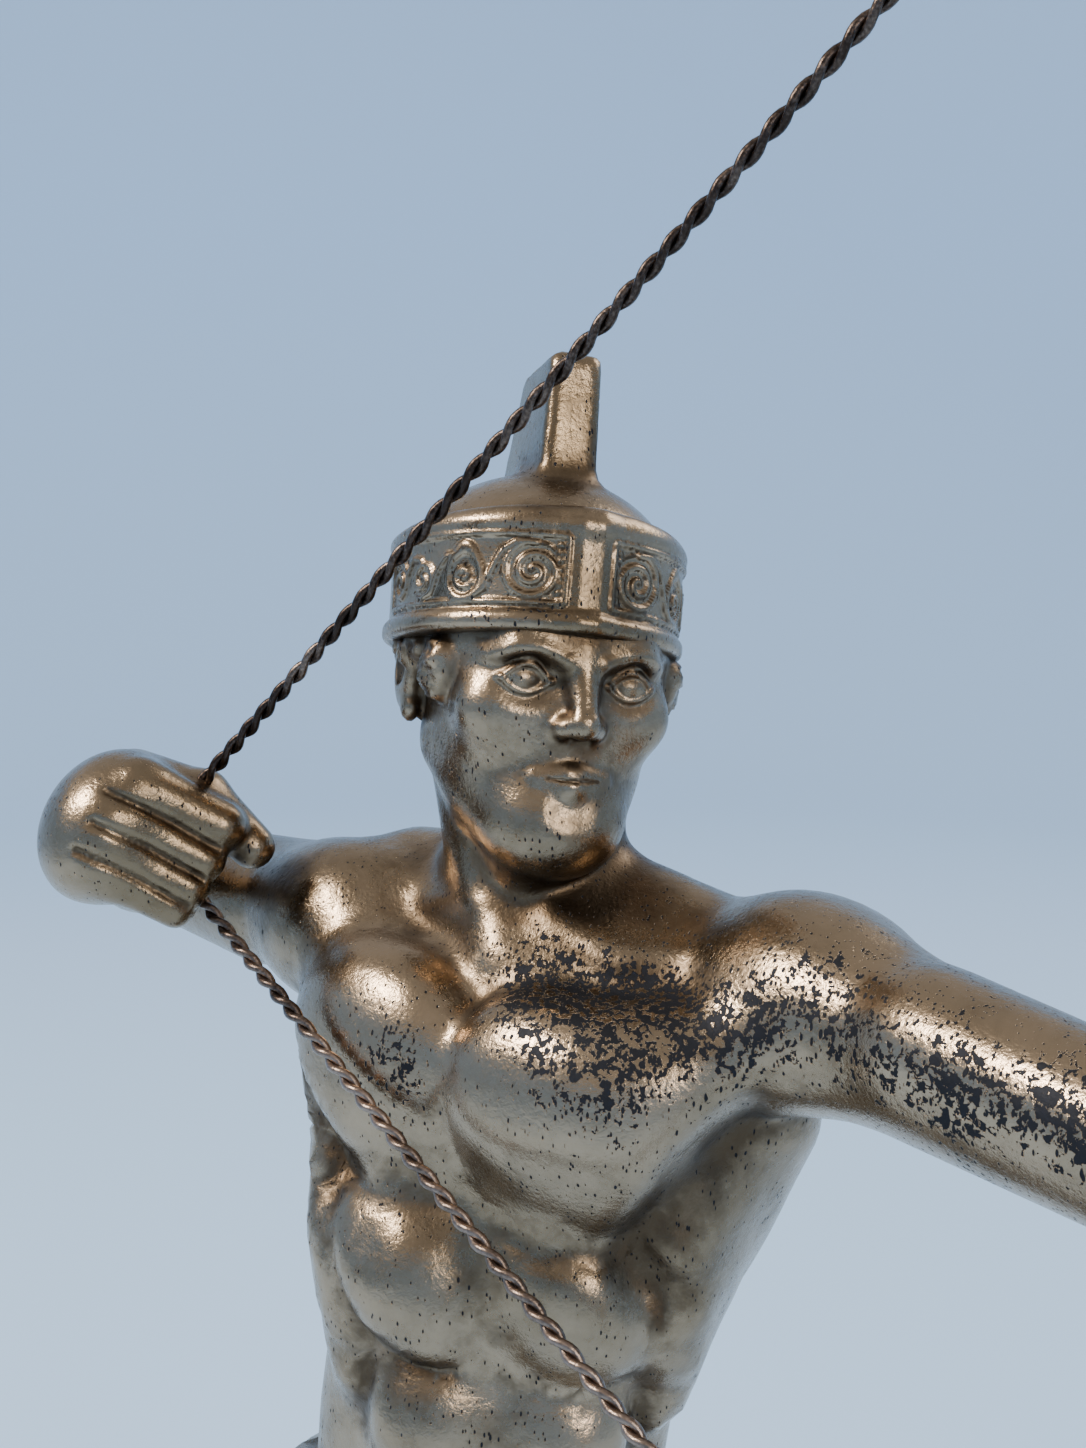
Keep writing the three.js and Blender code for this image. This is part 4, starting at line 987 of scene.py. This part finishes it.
class Wire:
    """A socket in a node tree whose sums and products are Math nodes."""

    def __init__(self, tree: "Tree", socket: bpy.types.NodeSocket) -> None:
        """Keeps the tree and the socket."""
        self.tree = tree
        self.socket = socket

    def math(self, operation: str, *values: "Wire | float", clamp: bool = False) -> "Wire":
        """Adds one Math node.

        Args:
            operation: the node's operation.
            values: its further inputs.
            clamp: whether the result stays between 0 and 1.

        Returns:
            The node's result.
        """
        settings = {"operation": operation, "use_clamp": clamp}
        return self.tree.node("ShaderNodeMath", settings, dict(enumerate((self, *values))))

    def __add__(self, other: "Wire | float") -> "Wire":
        """Sum."""
        return self.math("ADD", other)

    __radd__ = __add__

    def __mul__(self, other: "Wire | float") -> "Wire":
        """Product."""
        return self.math("MULTIPLY", other)

    __rmul__ = __mul__

    def __sub__(self, other: "Wire | float") -> "Wire":
        """Difference."""
        return self.math("SUBTRACT", other)

    def __rsub__(self, other: "Wire | float") -> "Wire":
        """Difference from a number."""
        return self.math("MULTIPLY_ADD", -1.0, other)

    def clamped(self) -> "Wire":
        """The value held between 0 and 1."""
        return self.math("ADD", 0.0, clamp=True)

    def ramp(self, low: float, high: float) -> "Wire":
        """0 below `low`, 1 above `high`, smooth between."""
        settings = {"interpolation_type": "SMOOTHSTEP"}
        inputs = {0: self, 1: low, 2: high, 3: 0.0, 4: 1.0}
        return self.tree.node("ShaderNodeMapRange", settings, inputs)


class Tree:
    """A material's node tree."""

    def __init__(self, name: str) -> None:
        """Starts a material with an empty tree."""
        self.material = bpy.data.materials.new(name)
        self.material.use_nodes = True
        self.nodes = self.material.node_tree.nodes
        self.links = self.material.node_tree.links
        self.nodes.clear()
        self.place = self.node("ShaderNodeTexCoord", {}, {}, "Object")

    def node(self, kind: str, settings: dict, inputs: dict, output: int | str = 0) -> Wire:
        """Adds a node.

        Args:
            kind: the node's type.
            settings: its settings, which are set first.
            inputs: values or wires for its sockets.
            output: which of its outputs is wanted.

        Returns:
            The wanted output.
        """
        made = self.nodes.new(kind)
        for key, value in settings.items():
            setattr(made, key, value)
        for key, value in inputs.items():
            if isinstance(value, Wire):
                self.links.new(value.socket, made.inputs[key])
            else:
                made.inputs[key].default_value = value
        return Wire(self, made.outputs[output])

    def noise(self, scale: float, detail: float = 4, roughness: float = 0.55,
              distortion: float = 0) -> Wire:
        """Cloudy noise; `scale` counts clouds for each metre."""
        return self.node("ShaderNodeTexNoise", {}, {
            "Vector": self.place, "Scale": scale, "Detail": detail, "Roughness": roughness,
            "Distortion": distortion})

    def cells(self, scale: float, stretch: Spot = (1, 1, 1)) -> Wire:
        """Distance to the nearest scattered point; they lie wider where `stretch` is small."""
        vector = self.node("ShaderNodeMapping", {}, {"Vector": self.place, "Scale": stretch})
        return self.node("ShaderNodeTexVoronoi", {}, {"Vector": vector, "Scale": scale})

    def height(self) -> Wire:
        """Height above the table, in metres."""
        return self.node("ShaderNodeSeparateXYZ", {}, {0: self.place}, "Z")

    def attribute(self, name: str) -> Wire:
        """A value kept on the mesh's corners."""
        return self.node("ShaderNodeAttribute", {"attribute_name": name}, {}, "Fac")

    def mix(self, factor: Wire | float, first: Wire | tuple, second: Wire | tuple) -> Wire:
        """A mix of two colours."""
        inputs = {0: factor, 6: first, 7: second}
        return self.node("ShaderNodeMix", {"data_type": "RGBA"}, inputs, 2)

    def bump(self, height: Wire, strength: float, distance: float) -> Wire:
        """A bump from a height."""
        inputs = {"Height": height, "Strength": strength, "Distance": distance}
        return self.node("ShaderNodeBump", {}, inputs)

    def finish(self, **inputs: "Wire | float | tuple") -> bpy.types.Material:
        """Ends the tree in a Principled shader and gives the material."""
        named = {key.replace("_", " "): value for key, value in inputs.items()}
        shader = self.node("ShaderNodeBsdfPrincipled", {}, named)
        self.node_output(shader)
        return self.material

    def node_output(self, shader: Wire) -> None:
        """Links a shader to the material's surface."""
        made = self.nodes.new("ShaderNodeOutputMaterial")
        self.links.new(shader.socket, made.inputs["Surface"])


@dataclass(frozen=True)
class SilveredMetal:
    """Worn silver over cast metal: polished forms, dark brown hollows that are tarnished metal and
    painted shade, pits.
    """

    name: str = "silvered metal"
    silver: tuple = (0.37, 0.265, 0.17, 1)
    warm: tuple = (0.235, 0.168, 0.105, 1)
    bronze: tuple = (0.19, 0.13, 0.074, 1)
    # Dark brown of the tarnish, also used as painted shade in the hollows.
    tarnish_and_shade: tuple = (0.066, 0.043, 0.025, 1)
    copper: tuple = (0.46, 0.28, 0.165, 1)
    eaten: tuple = (0.018, 0.018, 0.021, 1)
    marked: bool = True

    def material(self) -> bpy.types.Material:
        """Makes the material."""
        tree = Tree(self.name)
        cloud = tree.noise(24, 5, 0.6)
        smear = tree.noise(95, 6, 0.68, 0.5)
        mottle = tree.noise(300, 5, 0.7, 0.3)
        grain = tree.noise(1700, 3, 0.6)
        speck = tree.noise(1050, 3, 0.6, 0.3)
        clump = tree.noise(380, 3, 0.55, 0.4)
        if self.marked:
            hollow = tree.attribute("hollow")
            edge = tree.attribute("edge")
            patch = tree.attribute("eaten")
            bronze = tree.attribute("bronze")
        else:
            hollow, edge, patch, bronze = smear * 0.25, smear * 0.3, cloud * 0.2, cloud * 0.5
        # Painted shade in the hollows, from the occlusion in hollow, mixed with real tarnish from
        # the bronze patches and cloudy noise.
        tarnish_and_shade_mask = (hollow * 1.9 + bronze * 0.3 + (smear - 0.5) * 1.1 + (cloud - 0.5) * 1.2
                + (mottle - 0.5) * 0.8).ramp(0.05, 1.1)
        tint = (cloud * 0.6 + smear * 0.5 + mottle * 0.3 + bronze * 0.5).ramp(0.5, 0.95)
        colour = tree.mix(tint, self.silver, self.warm)
        # Bronze where the silver is worn, and painted shade on the left flank and the belly.
        bared_and_shaded = (bronze * 1.1 + (mottle - 0.5) * 0.6).ramp(0.2, 0.9) * 0.85
        colour = tree.mix(bared_and_shaded, colour, self.bronze)
        worn = (edge * 1.3 + (mottle - 0.5) * 1.2).ramp(0.6, 1.0) * 0.4
        colour = tree.mix(worn, colour, self.copper)
        colour = tree.mix(tarnish_and_shade_mask * 0.92, colour, self.tarnish_and_shade)
        loss = (patch * 0.32 + (speck - 0.5) + (clump - 0.5) * 0.5
                + (smear - 0.5) * 0.2).ramp(0.3, 0.33)
        pin = tree.cells(900, stretch=(1.5, 1.5, 0.6))
        holes = (0.185 - pin + (smear - 0.54) * 0.6 + (mottle - 0.5) * 0.4
                 + patch * 0.16).ramp(0.0, 0.08)
        dark = (loss + holes).clamped()
        colour = tree.mix(dark, colour, self.eaten)
        roughness = 0.24 + tarnish_and_shade_mask * 0.16 + (grain - 0.5) * 0.14 + dark * 0.35 + (mottle - 0.5) * 0.2
        metallic = 1 - dark * 0.15
        height = grain * 0.3 + mottle * 0.55 + smear * 0.4 - dark * 1.4
        normal = tree.bump(height, 0.6, 0.00035)
        return tree.finish(
            Base_Color=colour, Roughness=roughness.clamped(), Metallic=metallic, Normal=normal)


@dataclass(frozen=True)
class OxidisedWire:
    """Dark brown, oxidised wire with coppery wear on its outer turns."""

    name: str = "oxidised wire"
    dark: tuple = (0.030, 0.019, 0.014, 1)
    bare: tuple = (0.30, 0.215, 0.165, 1)
    hand: float = 0.358

    def material(self) -> bpy.types.Material:
        """Makes the material."""
        tree = Tree(self.name)
        cloud = tree.noise(90, 4)
        grain = tree.noise(2400, 4)
        # Lighter on the run below the drawing hand.
        below = tree.height().ramp(self.hand + 0.004, self.hand - 0.02)
        worn = (cloud * 0.9 + grain * 0.5 + below * 0.3).ramp(0.64, 1.2)
        colour = tree.mix(worn, self.dark, self.bare)
        normal = tree.bump(grain, 0.3, 0.0002)
        roughness = 0.22 + grain * 0.2
        return tree.finish(
            Base_Color=colour, Roughness=roughness.clamped(), Metallic=0.9 + worn * 0.1,
            Normal=normal)


@dataclass(frozen=True)
class DarkPatina:
    """A cast plinth with a dark brown patina, rubbed lighter in cloudy patches."""

    name: str = "dark patina"
    dark: tuple = (0.055, 0.040, 0.030, 1)
    rubbed: tuple = (0.28, 0.22, 0.17, 1)

    def material(self) -> bpy.types.Material:
        """Makes the material."""
        tree = Tree(self.name)
        cloud = tree.noise(26, 5, 0.6)
        smear = tree.noise(160, 6, 0.7)
        grain = tree.noise(1400, 3)
        rub = (cloud * 0.6 + smear * 0.6).ramp(0.52, 0.86)
        colour = tree.mix(rub * 0.8, self.dark, self.rubbed)
        normal = tree.bump(smear * 0.5 + grain * 0.3, 0.35, 0.0004)
        roughness = 0.38 + grain * 0.16 - rub * 0.12
        return tree.finish(
            Base_Color=colour, Roughness=roughness.clamped(), Metallic=0.9 + cloud * 0.1,
            Normal=normal)


# Where the drawn string runs from the drawing hand: directions and lengths in life
# centimetres.
STRING_UP = Vector((0.72, 0.107, 0.686)).normalized() * 76
STRING_DOWN = Vector((0.887, -0.1, -0.45)).normalized() * 66
STRAND_RADIUS = 0.00055
BOW_WIDTH = 0.0054
BOW_GRIP_DEPTH = 0.0066
BOW_TIP_DEPTH = 0.0026


class BowPlane:
    """The plane of the drawn bow, in metres: u runs from the drawing hand to the grip."""

    def __init__(self) -> None:
        """Works out the plane from the two hands and the string's ends."""
        self.draw_hand = Vector(to_part(GRIP_R))
        self.grip = Vector(to_part(GRIP_L))
        self.tip_up = self.draw_hand + STRING_UP * METRES_PER_LIFE_CM
        self.tip_down = self.draw_hand + STRING_DOWN * METRES_PER_LIFE_CM
        normal = STRING_UP.cross(STRING_DOWN).normalized()
        reach = self.grip - self.draw_hand
        self.aim = (reach - normal * reach.dot(normal)).normalized()
        rise = normal.cross(self.aim)
        self.rise = rise if rise.z > 0 else -rise
        self.side = self.aim.cross(self.rise)

    def flat(self, spot: Vector) -> Vector:
        """A spot's place in the plane, from the grip."""
        step = spot - self.grip
        return Vector((step.dot(self.aim), step.dot(self.rise)))

    def spot(self, place: Vector) -> Vector:
        """The spot of a place in the plane."""
        return self.grip + self.aim * place.x + self.rise * place.y

    def limb_line(self, tip: Vector, steps: int) -> list[Vector]:
        """The middle line of one limb, from the grip to the end of its ear.

        Args:
            tip: where the string is made fast.
            steps: how many steps the bent part has.

        Returns:
            Places in the plane.
        """
        end = self.flat(tip)
        up = math.copysign(1, end.y)
        knots = [
            Vector((0, 0)), Vector((0.013, 0.55 * end.y)), Vector((0.5 * end.x, 1.05 * end.y)), end]
        line = []
        for i in range(steps + 1):
            t = i / steps
            weights = ((1 - t) ** 3, 3 * t * (1 - t) ** 2, 3 * t * t * (1 - t), t**3)
            line.append(sum((k * w for k, w in zip(knots, weights)), Vector((0, 0))))
        out = (knots[3] - knots[2]).normalized() * 0.007
        ear = [end, end + out, end + out * 0.9 + Vector((0.002, 0.011 * up))]
        for i in range(1, steps // 3 + 1):
            t = i / (steps // 3)
            weights = ((1 - t) ** 2, 2 * t * (1 - t), t * t)
            line.append(sum((k * w for k, w in zip(ear, weights)), Vector((0, 0))))
        return line


# A station of a swept section: its middle and the two half widths as vectors.
Ring = tuple[Vector, Vector, Vector]


def swept(name: str, rings: Sequence[Ring], sides: int, power: float = 2) -> bpy.types.Object:
    """Draws one round section along a line.

    Args:
        name: the piece's name.
        rings: for each station its middle and the two half widths as vectors.
        sides: corners of the section.
        power: 2 for an oval section, more for a squarer one.

    Returns:
        The piece, closed at both ends.
    """
    shape = bmesh.new()
    ring = bmesh.ops.create_circle(shape, cap_ends=True, segments=sides, radius=1)["verts"]
    angles = [2 * math.pi * i / sides for i in range(sides)]

    def lay(verts: Sequence[bmesh.types.BMVert], station: Ring) -> None:
        middle, across, beside = station
        for vert, angle in zip(verts, angles):
            c, s = math.cos(angle), math.sin(angle)
            squeeze = (abs(c) ** power + abs(s) ** power) ** (-1 / power)
            vert.co = middle + across * (c * squeeze) + beside * (s * squeeze)

    lay(ring, rings[0])
    face = shape.faces[:][0]
    for station in rings[1:]:
        made = bmesh.ops.extrude_face_region(shape, geom=[face])["geom"]
        new_face = next(g for g in made if isinstance(g, bmesh.types.BMFace))
        verts = list(new_face.verts)
        if station is rings[1]:
            face.normal_flip()
        elif face.is_valid:
            bmesh.ops.delete(shape, geom=[face], context="FACES_ONLY")
        face = new_face
        lay(verts, station)
    for f in shape.faces:
        f.smooth = len(f.verts) == 4
    bmesh.ops.recalc_face_normals(shape, faces=shape.faces)
    piece = new_piece(name, shape)
    LOG.info("%s: %d faces", name, len(piece.data.polygons))
    return piece


def merged(name: str, parts: Sequence[bpy.types.Object]) -> bpy.types.Object:
    """Joins several objects into one piece."""
    shape = bmesh.new()
    for part in parts:
        shape.from_mesh(part.data)
        bpy.data.objects.remove(part)
    return new_piece(name, shape)


def dress(piece: bpy.types.Object, material: bpy.types.Material, node: str) -> None:
    """Gives a piece its material and its places in the part's tables."""
    piece.data.materials.clear()
    piece.data.materials.append(material)
    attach(piece, "root")
    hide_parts(node)


@dataclass
class Figure:
    """The casting: body, helmet and cloth, three pieces that stand for its one solid."""

    cell: float = 0.0021
    helmet_cell: float = 0.0013
    cloth_cell: float = 0.0013
    finish: SilveredMetal = field(default_factory=SilveredMetal)

    @staticmethod
    def near_head(p: Array) -> Array:
        """Where the head and the neck are."""
        near = np.linalg.norm(p - HEAD, axis=1) < 17
        return near & (np.abs(p[:, 0]) < 13) & (p[:, 2] > 149.5)

    @staticmethod
    def near_face(p: Array) -> Array:
        """Where the face and the ears are, below the helmet."""
        x, y, z = head_mass().own(p).T
        return (y < 3.5) & (z < 2) & (z > -12.5) & (np.abs(x) < 9.5)

    @staticmethod
    def near_features(p: Array) -> Array:
        """Where the eyes, the nose and the mouth are."""
        x, y, z = head_mass().own(p).T
        return (y < -5) & (z < 1.6) & (z > -8.6) & (np.abs(x) < 5.6)

    @staticmethod
    def near_hands(p: Array) -> Array:
        """Where the fists are."""
        right = np.linalg.norm(p - np.array((-21.5, -15.5, 153)), axis=1) < 10.5
        left = np.linalg.norm(p - np.array((76, -11, 156)), axis=1) < 9.5
        return right | left

    @staticmethod
    def near_feet(p: Array) -> Array:
        """Where the feet are."""
        return p[:, 2] < 6

    @staticmethod
    def near_band(p: Array) -> Array:
        """Where the helmet's ornament is."""
        x, y, z = helmet_mass().own(p).T
        return (z < 8) & (z > -1.2) & (np.hypot(x, y) > 6.4)

    def build(self) -> list[bpy.types.Object]:
        """Sculpts and dresses the three pieces.

        Returns:
            The pieces.
        """
        flesh, hard = body_masses(), hard_masses()
        helmet, cloth = helmet_mass(), cloth_mass()
        whole = melted(flesh, [*hard, helmet, cloth])
        material = self.finish.material()
        finer = (
            lambda p: self.near_head(p) | self.near_hands(p) | self.near_feet(p),
            lambda p: self.near_face(p) | self.near_hands(p),
            self.near_features,
        )
        pieces = [
            Sculpture("body", [*flesh, *hard], melted(flesh, hard), whole, self.cell, finer).build(),
            Sculpture("helmet", [helmet], helmet, whole, self.helmet_cell,
                      (self.near_band, self.near_band)).build(),
            Sculpture("cloth", [cloth], cloth, whole, self.cloth_cell).build(),
        ]
        for piece in pieces:
            dress(piece, material, "figure")
        return pieces


@dataclass
class Bowstring:
    """Two strands of wire twisted together, from tip to tip round the drawing fist."""

    plane: BowPlane
    turn_length: float = 0.0079
    tight_turn: float = 0.0068
    steps_in_turn: int = 14
    sides: int = 8
    collar_turns: int = 3
    collar_steps: int = 28
    finish: OxidisedWire = field(default_factory=OxidisedWire)

    def strand(self, start: Vector, end: Vector, phase: float) -> bpy.types.Object:
        """One strand of one run.

        Args:
            start: where the run starts.
            end: where it ends.
            phase: the strand's angle at the start.

        Returns:
            The strand.
        """
        run = (end - start).normalized()
        across = run.orthogonal().normalized()
        beside = run.cross(across)
        length = (end - start).length
        turn_length = self.turn_length if run.z > 0 else self.tight_turn
        count = round(length / turn_length * self.steps_in_turn)
        slant = 2 * math.pi * STRAND_RADIUS / turn_length
        rings = []
        for i in range(count + 1):
            t = i / count
            angle = phase - 2 * math.pi * t * length / turn_length
            out = across * math.cos(angle) + beside * math.sin(angle)
            round_ = across * math.sin(angle) - beside * math.cos(angle)
            along = (run + round_ * slant).normalized()
            middle = start + run * (length * t) + out * STRAND_RADIUS
            rings.append((middle, out * STRAND_RADIUS, along.cross(out) * STRAND_RADIUS))
        return swept("strand", rings, self.sides)

    def collar(self, tip: Vector) -> bpy.types.Object:
        """The turns of wire round a limb's end.

        Args:
            tip: where the string is made fast.

        Returns:
            The turns as one winding.
        """
        line = self.plane.limb_line(tip, 30)
        run = (line[31] - line[29]).normalized()
        along = self.plane.aim * run.x + self.plane.rise * run.y
        across = self.plane.aim * run.y - self.plane.rise * run.x
        beside = along.cross(across)
        wire = 2 * STRAND_RADIUS
        half = Vector((BOW_TIP_DEPTH / 2 + wire * 0.75, BOW_WIDTH / 2 + wire * 0.75))
        rings = []
        count = self.collar_turns * self.collar_steps
        for i in range(count + 1):
            angle = 2 * math.pi * i / self.collar_steps
            c, s = math.cos(angle), math.sin(angle)
            squeeze = (abs(c) ** 5 + abs(s) ** 5) ** -0.2
            out = (across * (c * half.y) + beside * (s * half.x)).normalized()
            spot = across * (c * squeeze * half.x) + beside * (s * squeeze * half.y)
            rise = wire * 1.9 * (i / self.collar_steps - self.collar_turns / 2)
            middle = tip + spot + along * rise
            rings.append((middle, out * wire * 0.9, along * wire * 0.9))
        return swept("collar", rings, self.sides)

    def build(self) -> bpy.types.Object:
        """Twists the strands, adds the turns at the tips and dresses them.

        Returns:
            The piece.
        """
        hand = self.plane.draw_hand
        parts = []
        for tip in (self.plane.tip_up, self.plane.tip_down):
            parts += [self.strand(hand, tip, phase) for phase in (0.4, 0.4 + math.pi)]
            parts.append(self.collar(tip))
        piece = merged("twisted_wire", parts)
        dress(piece, self.finish.material(), "bowstring")
        return piece


@dataclass
class Bow:
    """The bow, flat in section, thicker at the grip and curled forward at its ears."""

    plane: BowPlane
    steps: int = 36
    sides: int = 20
    squareness: float = 3.2
    finish: SilveredMetal = field(default_factory=lambda: SilveredMetal(
        name="tarnished bow metal", silver=(0.46, 0.40, 0.33, 1), marked=False))

    def build(self) -> bpy.types.Object:
        """Draws the section along the bow and dresses it.

        Returns:
            The piece.
        """
        upper = self.plane.limb_line(self.plane.tip_up, self.steps)
        lower = self.plane.limb_line(self.plane.tip_down, self.steps)
        line = [*reversed(lower), *upper[1:]]
        middle = len(lower) - 1
        rings = []
        for i, place in enumerate(line):
            before, after = line[max(0, i - 1)], line[min(len(line) - 1, i + 1)]
            run = (after - before).normalized()
            far = min(1, abs(i - middle) / middle * 1.25)
            half = (BOW_GRIP_DEPTH + (BOW_TIP_DEPTH - BOW_GRIP_DEPTH) * far) / 2
            across = self.plane.aim * run.y - self.plane.rise * run.x
            rings.append((self.plane.spot(place), across * half, self.plane.side * (BOW_WIDTH / 2)))
        piece = swept("bow_limbs", rings, self.sides, self.squareness)
        dress(piece, self.finish.material(), "bow")
        return piece


@dataclass
class Plinth:
    """A wide low slab with a smaller, taller one on it, both with rounded edges."""

    half_x: float = 0.096
    half_y: float = 0.052
    corner: float = 0.016
    foot_height: float = 0.007
    step: float = 0.005
    foot_rounding: float = 0.0015
    top_rounding: float = 0.0025
    finish: DarkPatina = field(default_factory=DarkPatina)

    def slab(self, shape: bmesh.types.BMesh, inset: float, low: float, high: float,
             rounding: float) -> None:
        """Adds one slab.

        Args:
            shape: the mesh that it goes into.
            inset: how far it stands back from the plinth's outline.
            low: height of its underside.
            high: height of its top.
            rounding: radius of its upper and lower edges.
        """
        size = Vector((2 * (self.half_x - inset), 2 * (self.half_y - inset), high - low))
        matrix = Matrix.Translation((0, 0, (low + high) / 2)) @ Matrix.Diagonal((*size, 1))
        verts = bmesh.ops.create_cube(shape, size=1, matrix=matrix)["verts"]
        edges = {e for v in verts for e in v.link_edges}
        upright = [e for e in edges if abs(e.verts[0].co.z - e.verts[1].co.z) > 1e-4]
        made = bmesh.ops.bevel(
            shape, geom=upright, affect="EDGES", offset=self.corner - inset, segments=10,
            profile=0.5, material=-1)
        verts = {v for f in made["faces"] for v in f.verts}
        flat = {e for v in verts for e in v.link_edges
                if abs(e.verts[0].co.z - e.verts[1].co.z) < 1e-6}
        rim = [e for e in flat if any(abs(f.normal.z) > 0.9 for f in e.link_faces)
               and any(abs(f.normal.z) < 0.1 for f in e.link_faces)]
        bmesh.ops.bevel(
            shape, geom=rim, affect="EDGES", offset=rounding, segments=5, profile=0.5, material=-1)

    def build(self) -> bpy.types.Object:
        """Makes and dresses the plinth.

        Returns:
            The piece.
        """
        shape = bmesh.new()
        self.slab(shape, 0, 0, self.foot_height, self.foot_rounding)
        self.slab(shape, self.step, 0.001, PLINTH_HEIGHT - FIT_GAP, self.top_rounding)
        for face in shape.faces:
            face.smooth = True
        piece = new_piece("plinth", shape)
        dress(piece, self.finish.material(), "base")
        return piece


# The lamps: name, place, size, power and tint.
LAMPS = (
    ("key", (-0.7, -0.9, 1.4), 0.32, 30, (1, 0.95, 0.88)),
    ("fill", (1.3, -0.5, 0.9), 0.5, 9, (1, 0.96, 0.9)),
    ("back", (0.4, 1.2, 1.3), 0.7, 9, (1, 0.98, 0.95)),
)


@dataclass
class Studio:
    """A pale floor, soft light and the camera."""

    eye: Spot = (0.1283, -0.1580, 0.4169)
    ahead: Spot = (-0.6198, 0.7653, -0.1736)
    lens: float = 37.29
    lit: Spot = (0, 0, 0.33)
    floor: tuple = (0.53, 0.73, 0.97, 1)
    sky: tuple = (0.94, 0.97, 1.0, 1)
    brightness: float = 0.6
    wall: float = 2.4
    sweep: float = 0.8
    wall_height: float = 1.3

    def lamp(self, name: str, spot: Spot, size: float, power: float, tint: tuple) -> None:
        """Adds a soft square light that faces the chest."""
        data = bpy.data.lights.new(name, "AREA")
        data.energy = power
        data.size = size
        data.color = tint
        lamp = bpy.data.objects.new(name, data)
        lamp.location = spot
        toward = Vector(self.lit) - Vector(spot)
        lamp.rotation_euler = toward.to_track_quat("-Z", "Y").to_euler()
        bpy.context.collection.objects.link(lamp)

    def build(self) -> None:
        """Makes the floor, the sky, the lights and the camera."""
        shape = bmesh.new()
        first = shape.verts.new((0, 0, 0))
        line = [first]
        for i in range(13):
            angle = math.radians(90 * i / 12)
            out = self.wall - self.sweep + self.sweep * math.sin(angle)
            line.append(shape.verts.new((out, 0, self.sweep * (1 - math.cos(angle)))))
        line.append(shape.verts.new((self.wall, 0, self.wall_height)))
        edges = [shape.edges.new(pair) for pair in zip(line, line[1:])]
        bmesh.ops.spin(
            shape, geom=[*line, *edges], axis=(0, 0, 1), cent=(0, 0, 0), angle=2 * math.pi,
            steps=96, use_merge=True)
        bmesh.ops.remove_doubles(shape, verts=shape.verts, dist=1e-5)
        for face in shape.faces:
            face.smooth = True
        floor = new_piece("floor", shape)
        tree = Tree("pale floor")
        floor.data.materials.append(tree.finish(Base_Color=self.floor, Roughness=0.9))

        world = bpy.data.worlds.new("sky")
        world.use_nodes = True
        sky = world.node_tree.nodes["Background"].inputs
        sky["Color"].default_value = self.sky
        sky["Strength"].default_value = self.brightness
        bpy.context.scene.world = world
        for lamp in LAMPS:
            self.lamp(*lamp)

        camera = bpy.data.cameras.new("camera")
        camera.lens = self.lens
        camera.sensor_width = 36
        camera.clip_start = 0.01
        holder = bpy.data.objects.new("camera", camera)
        holder.location = self.eye
        holder.rotation_euler = Vector(self.ahead).to_track_quat("-Z", "Y").to_euler()
        bpy.context.collection.objects.link(holder)
        bpy.context.scene.camera = holder


def main() -> None:
    """Builds the scene."""
    logging.basicConfig(level=logging.INFO, format="%(message)s")
    Studio().build()
    plane = BowPlane()
    Figure().build()
    Bowstring(plane).build()
    Bow(plane).build()
    Plinth().build()


if __name__ == "__main__":
    main()
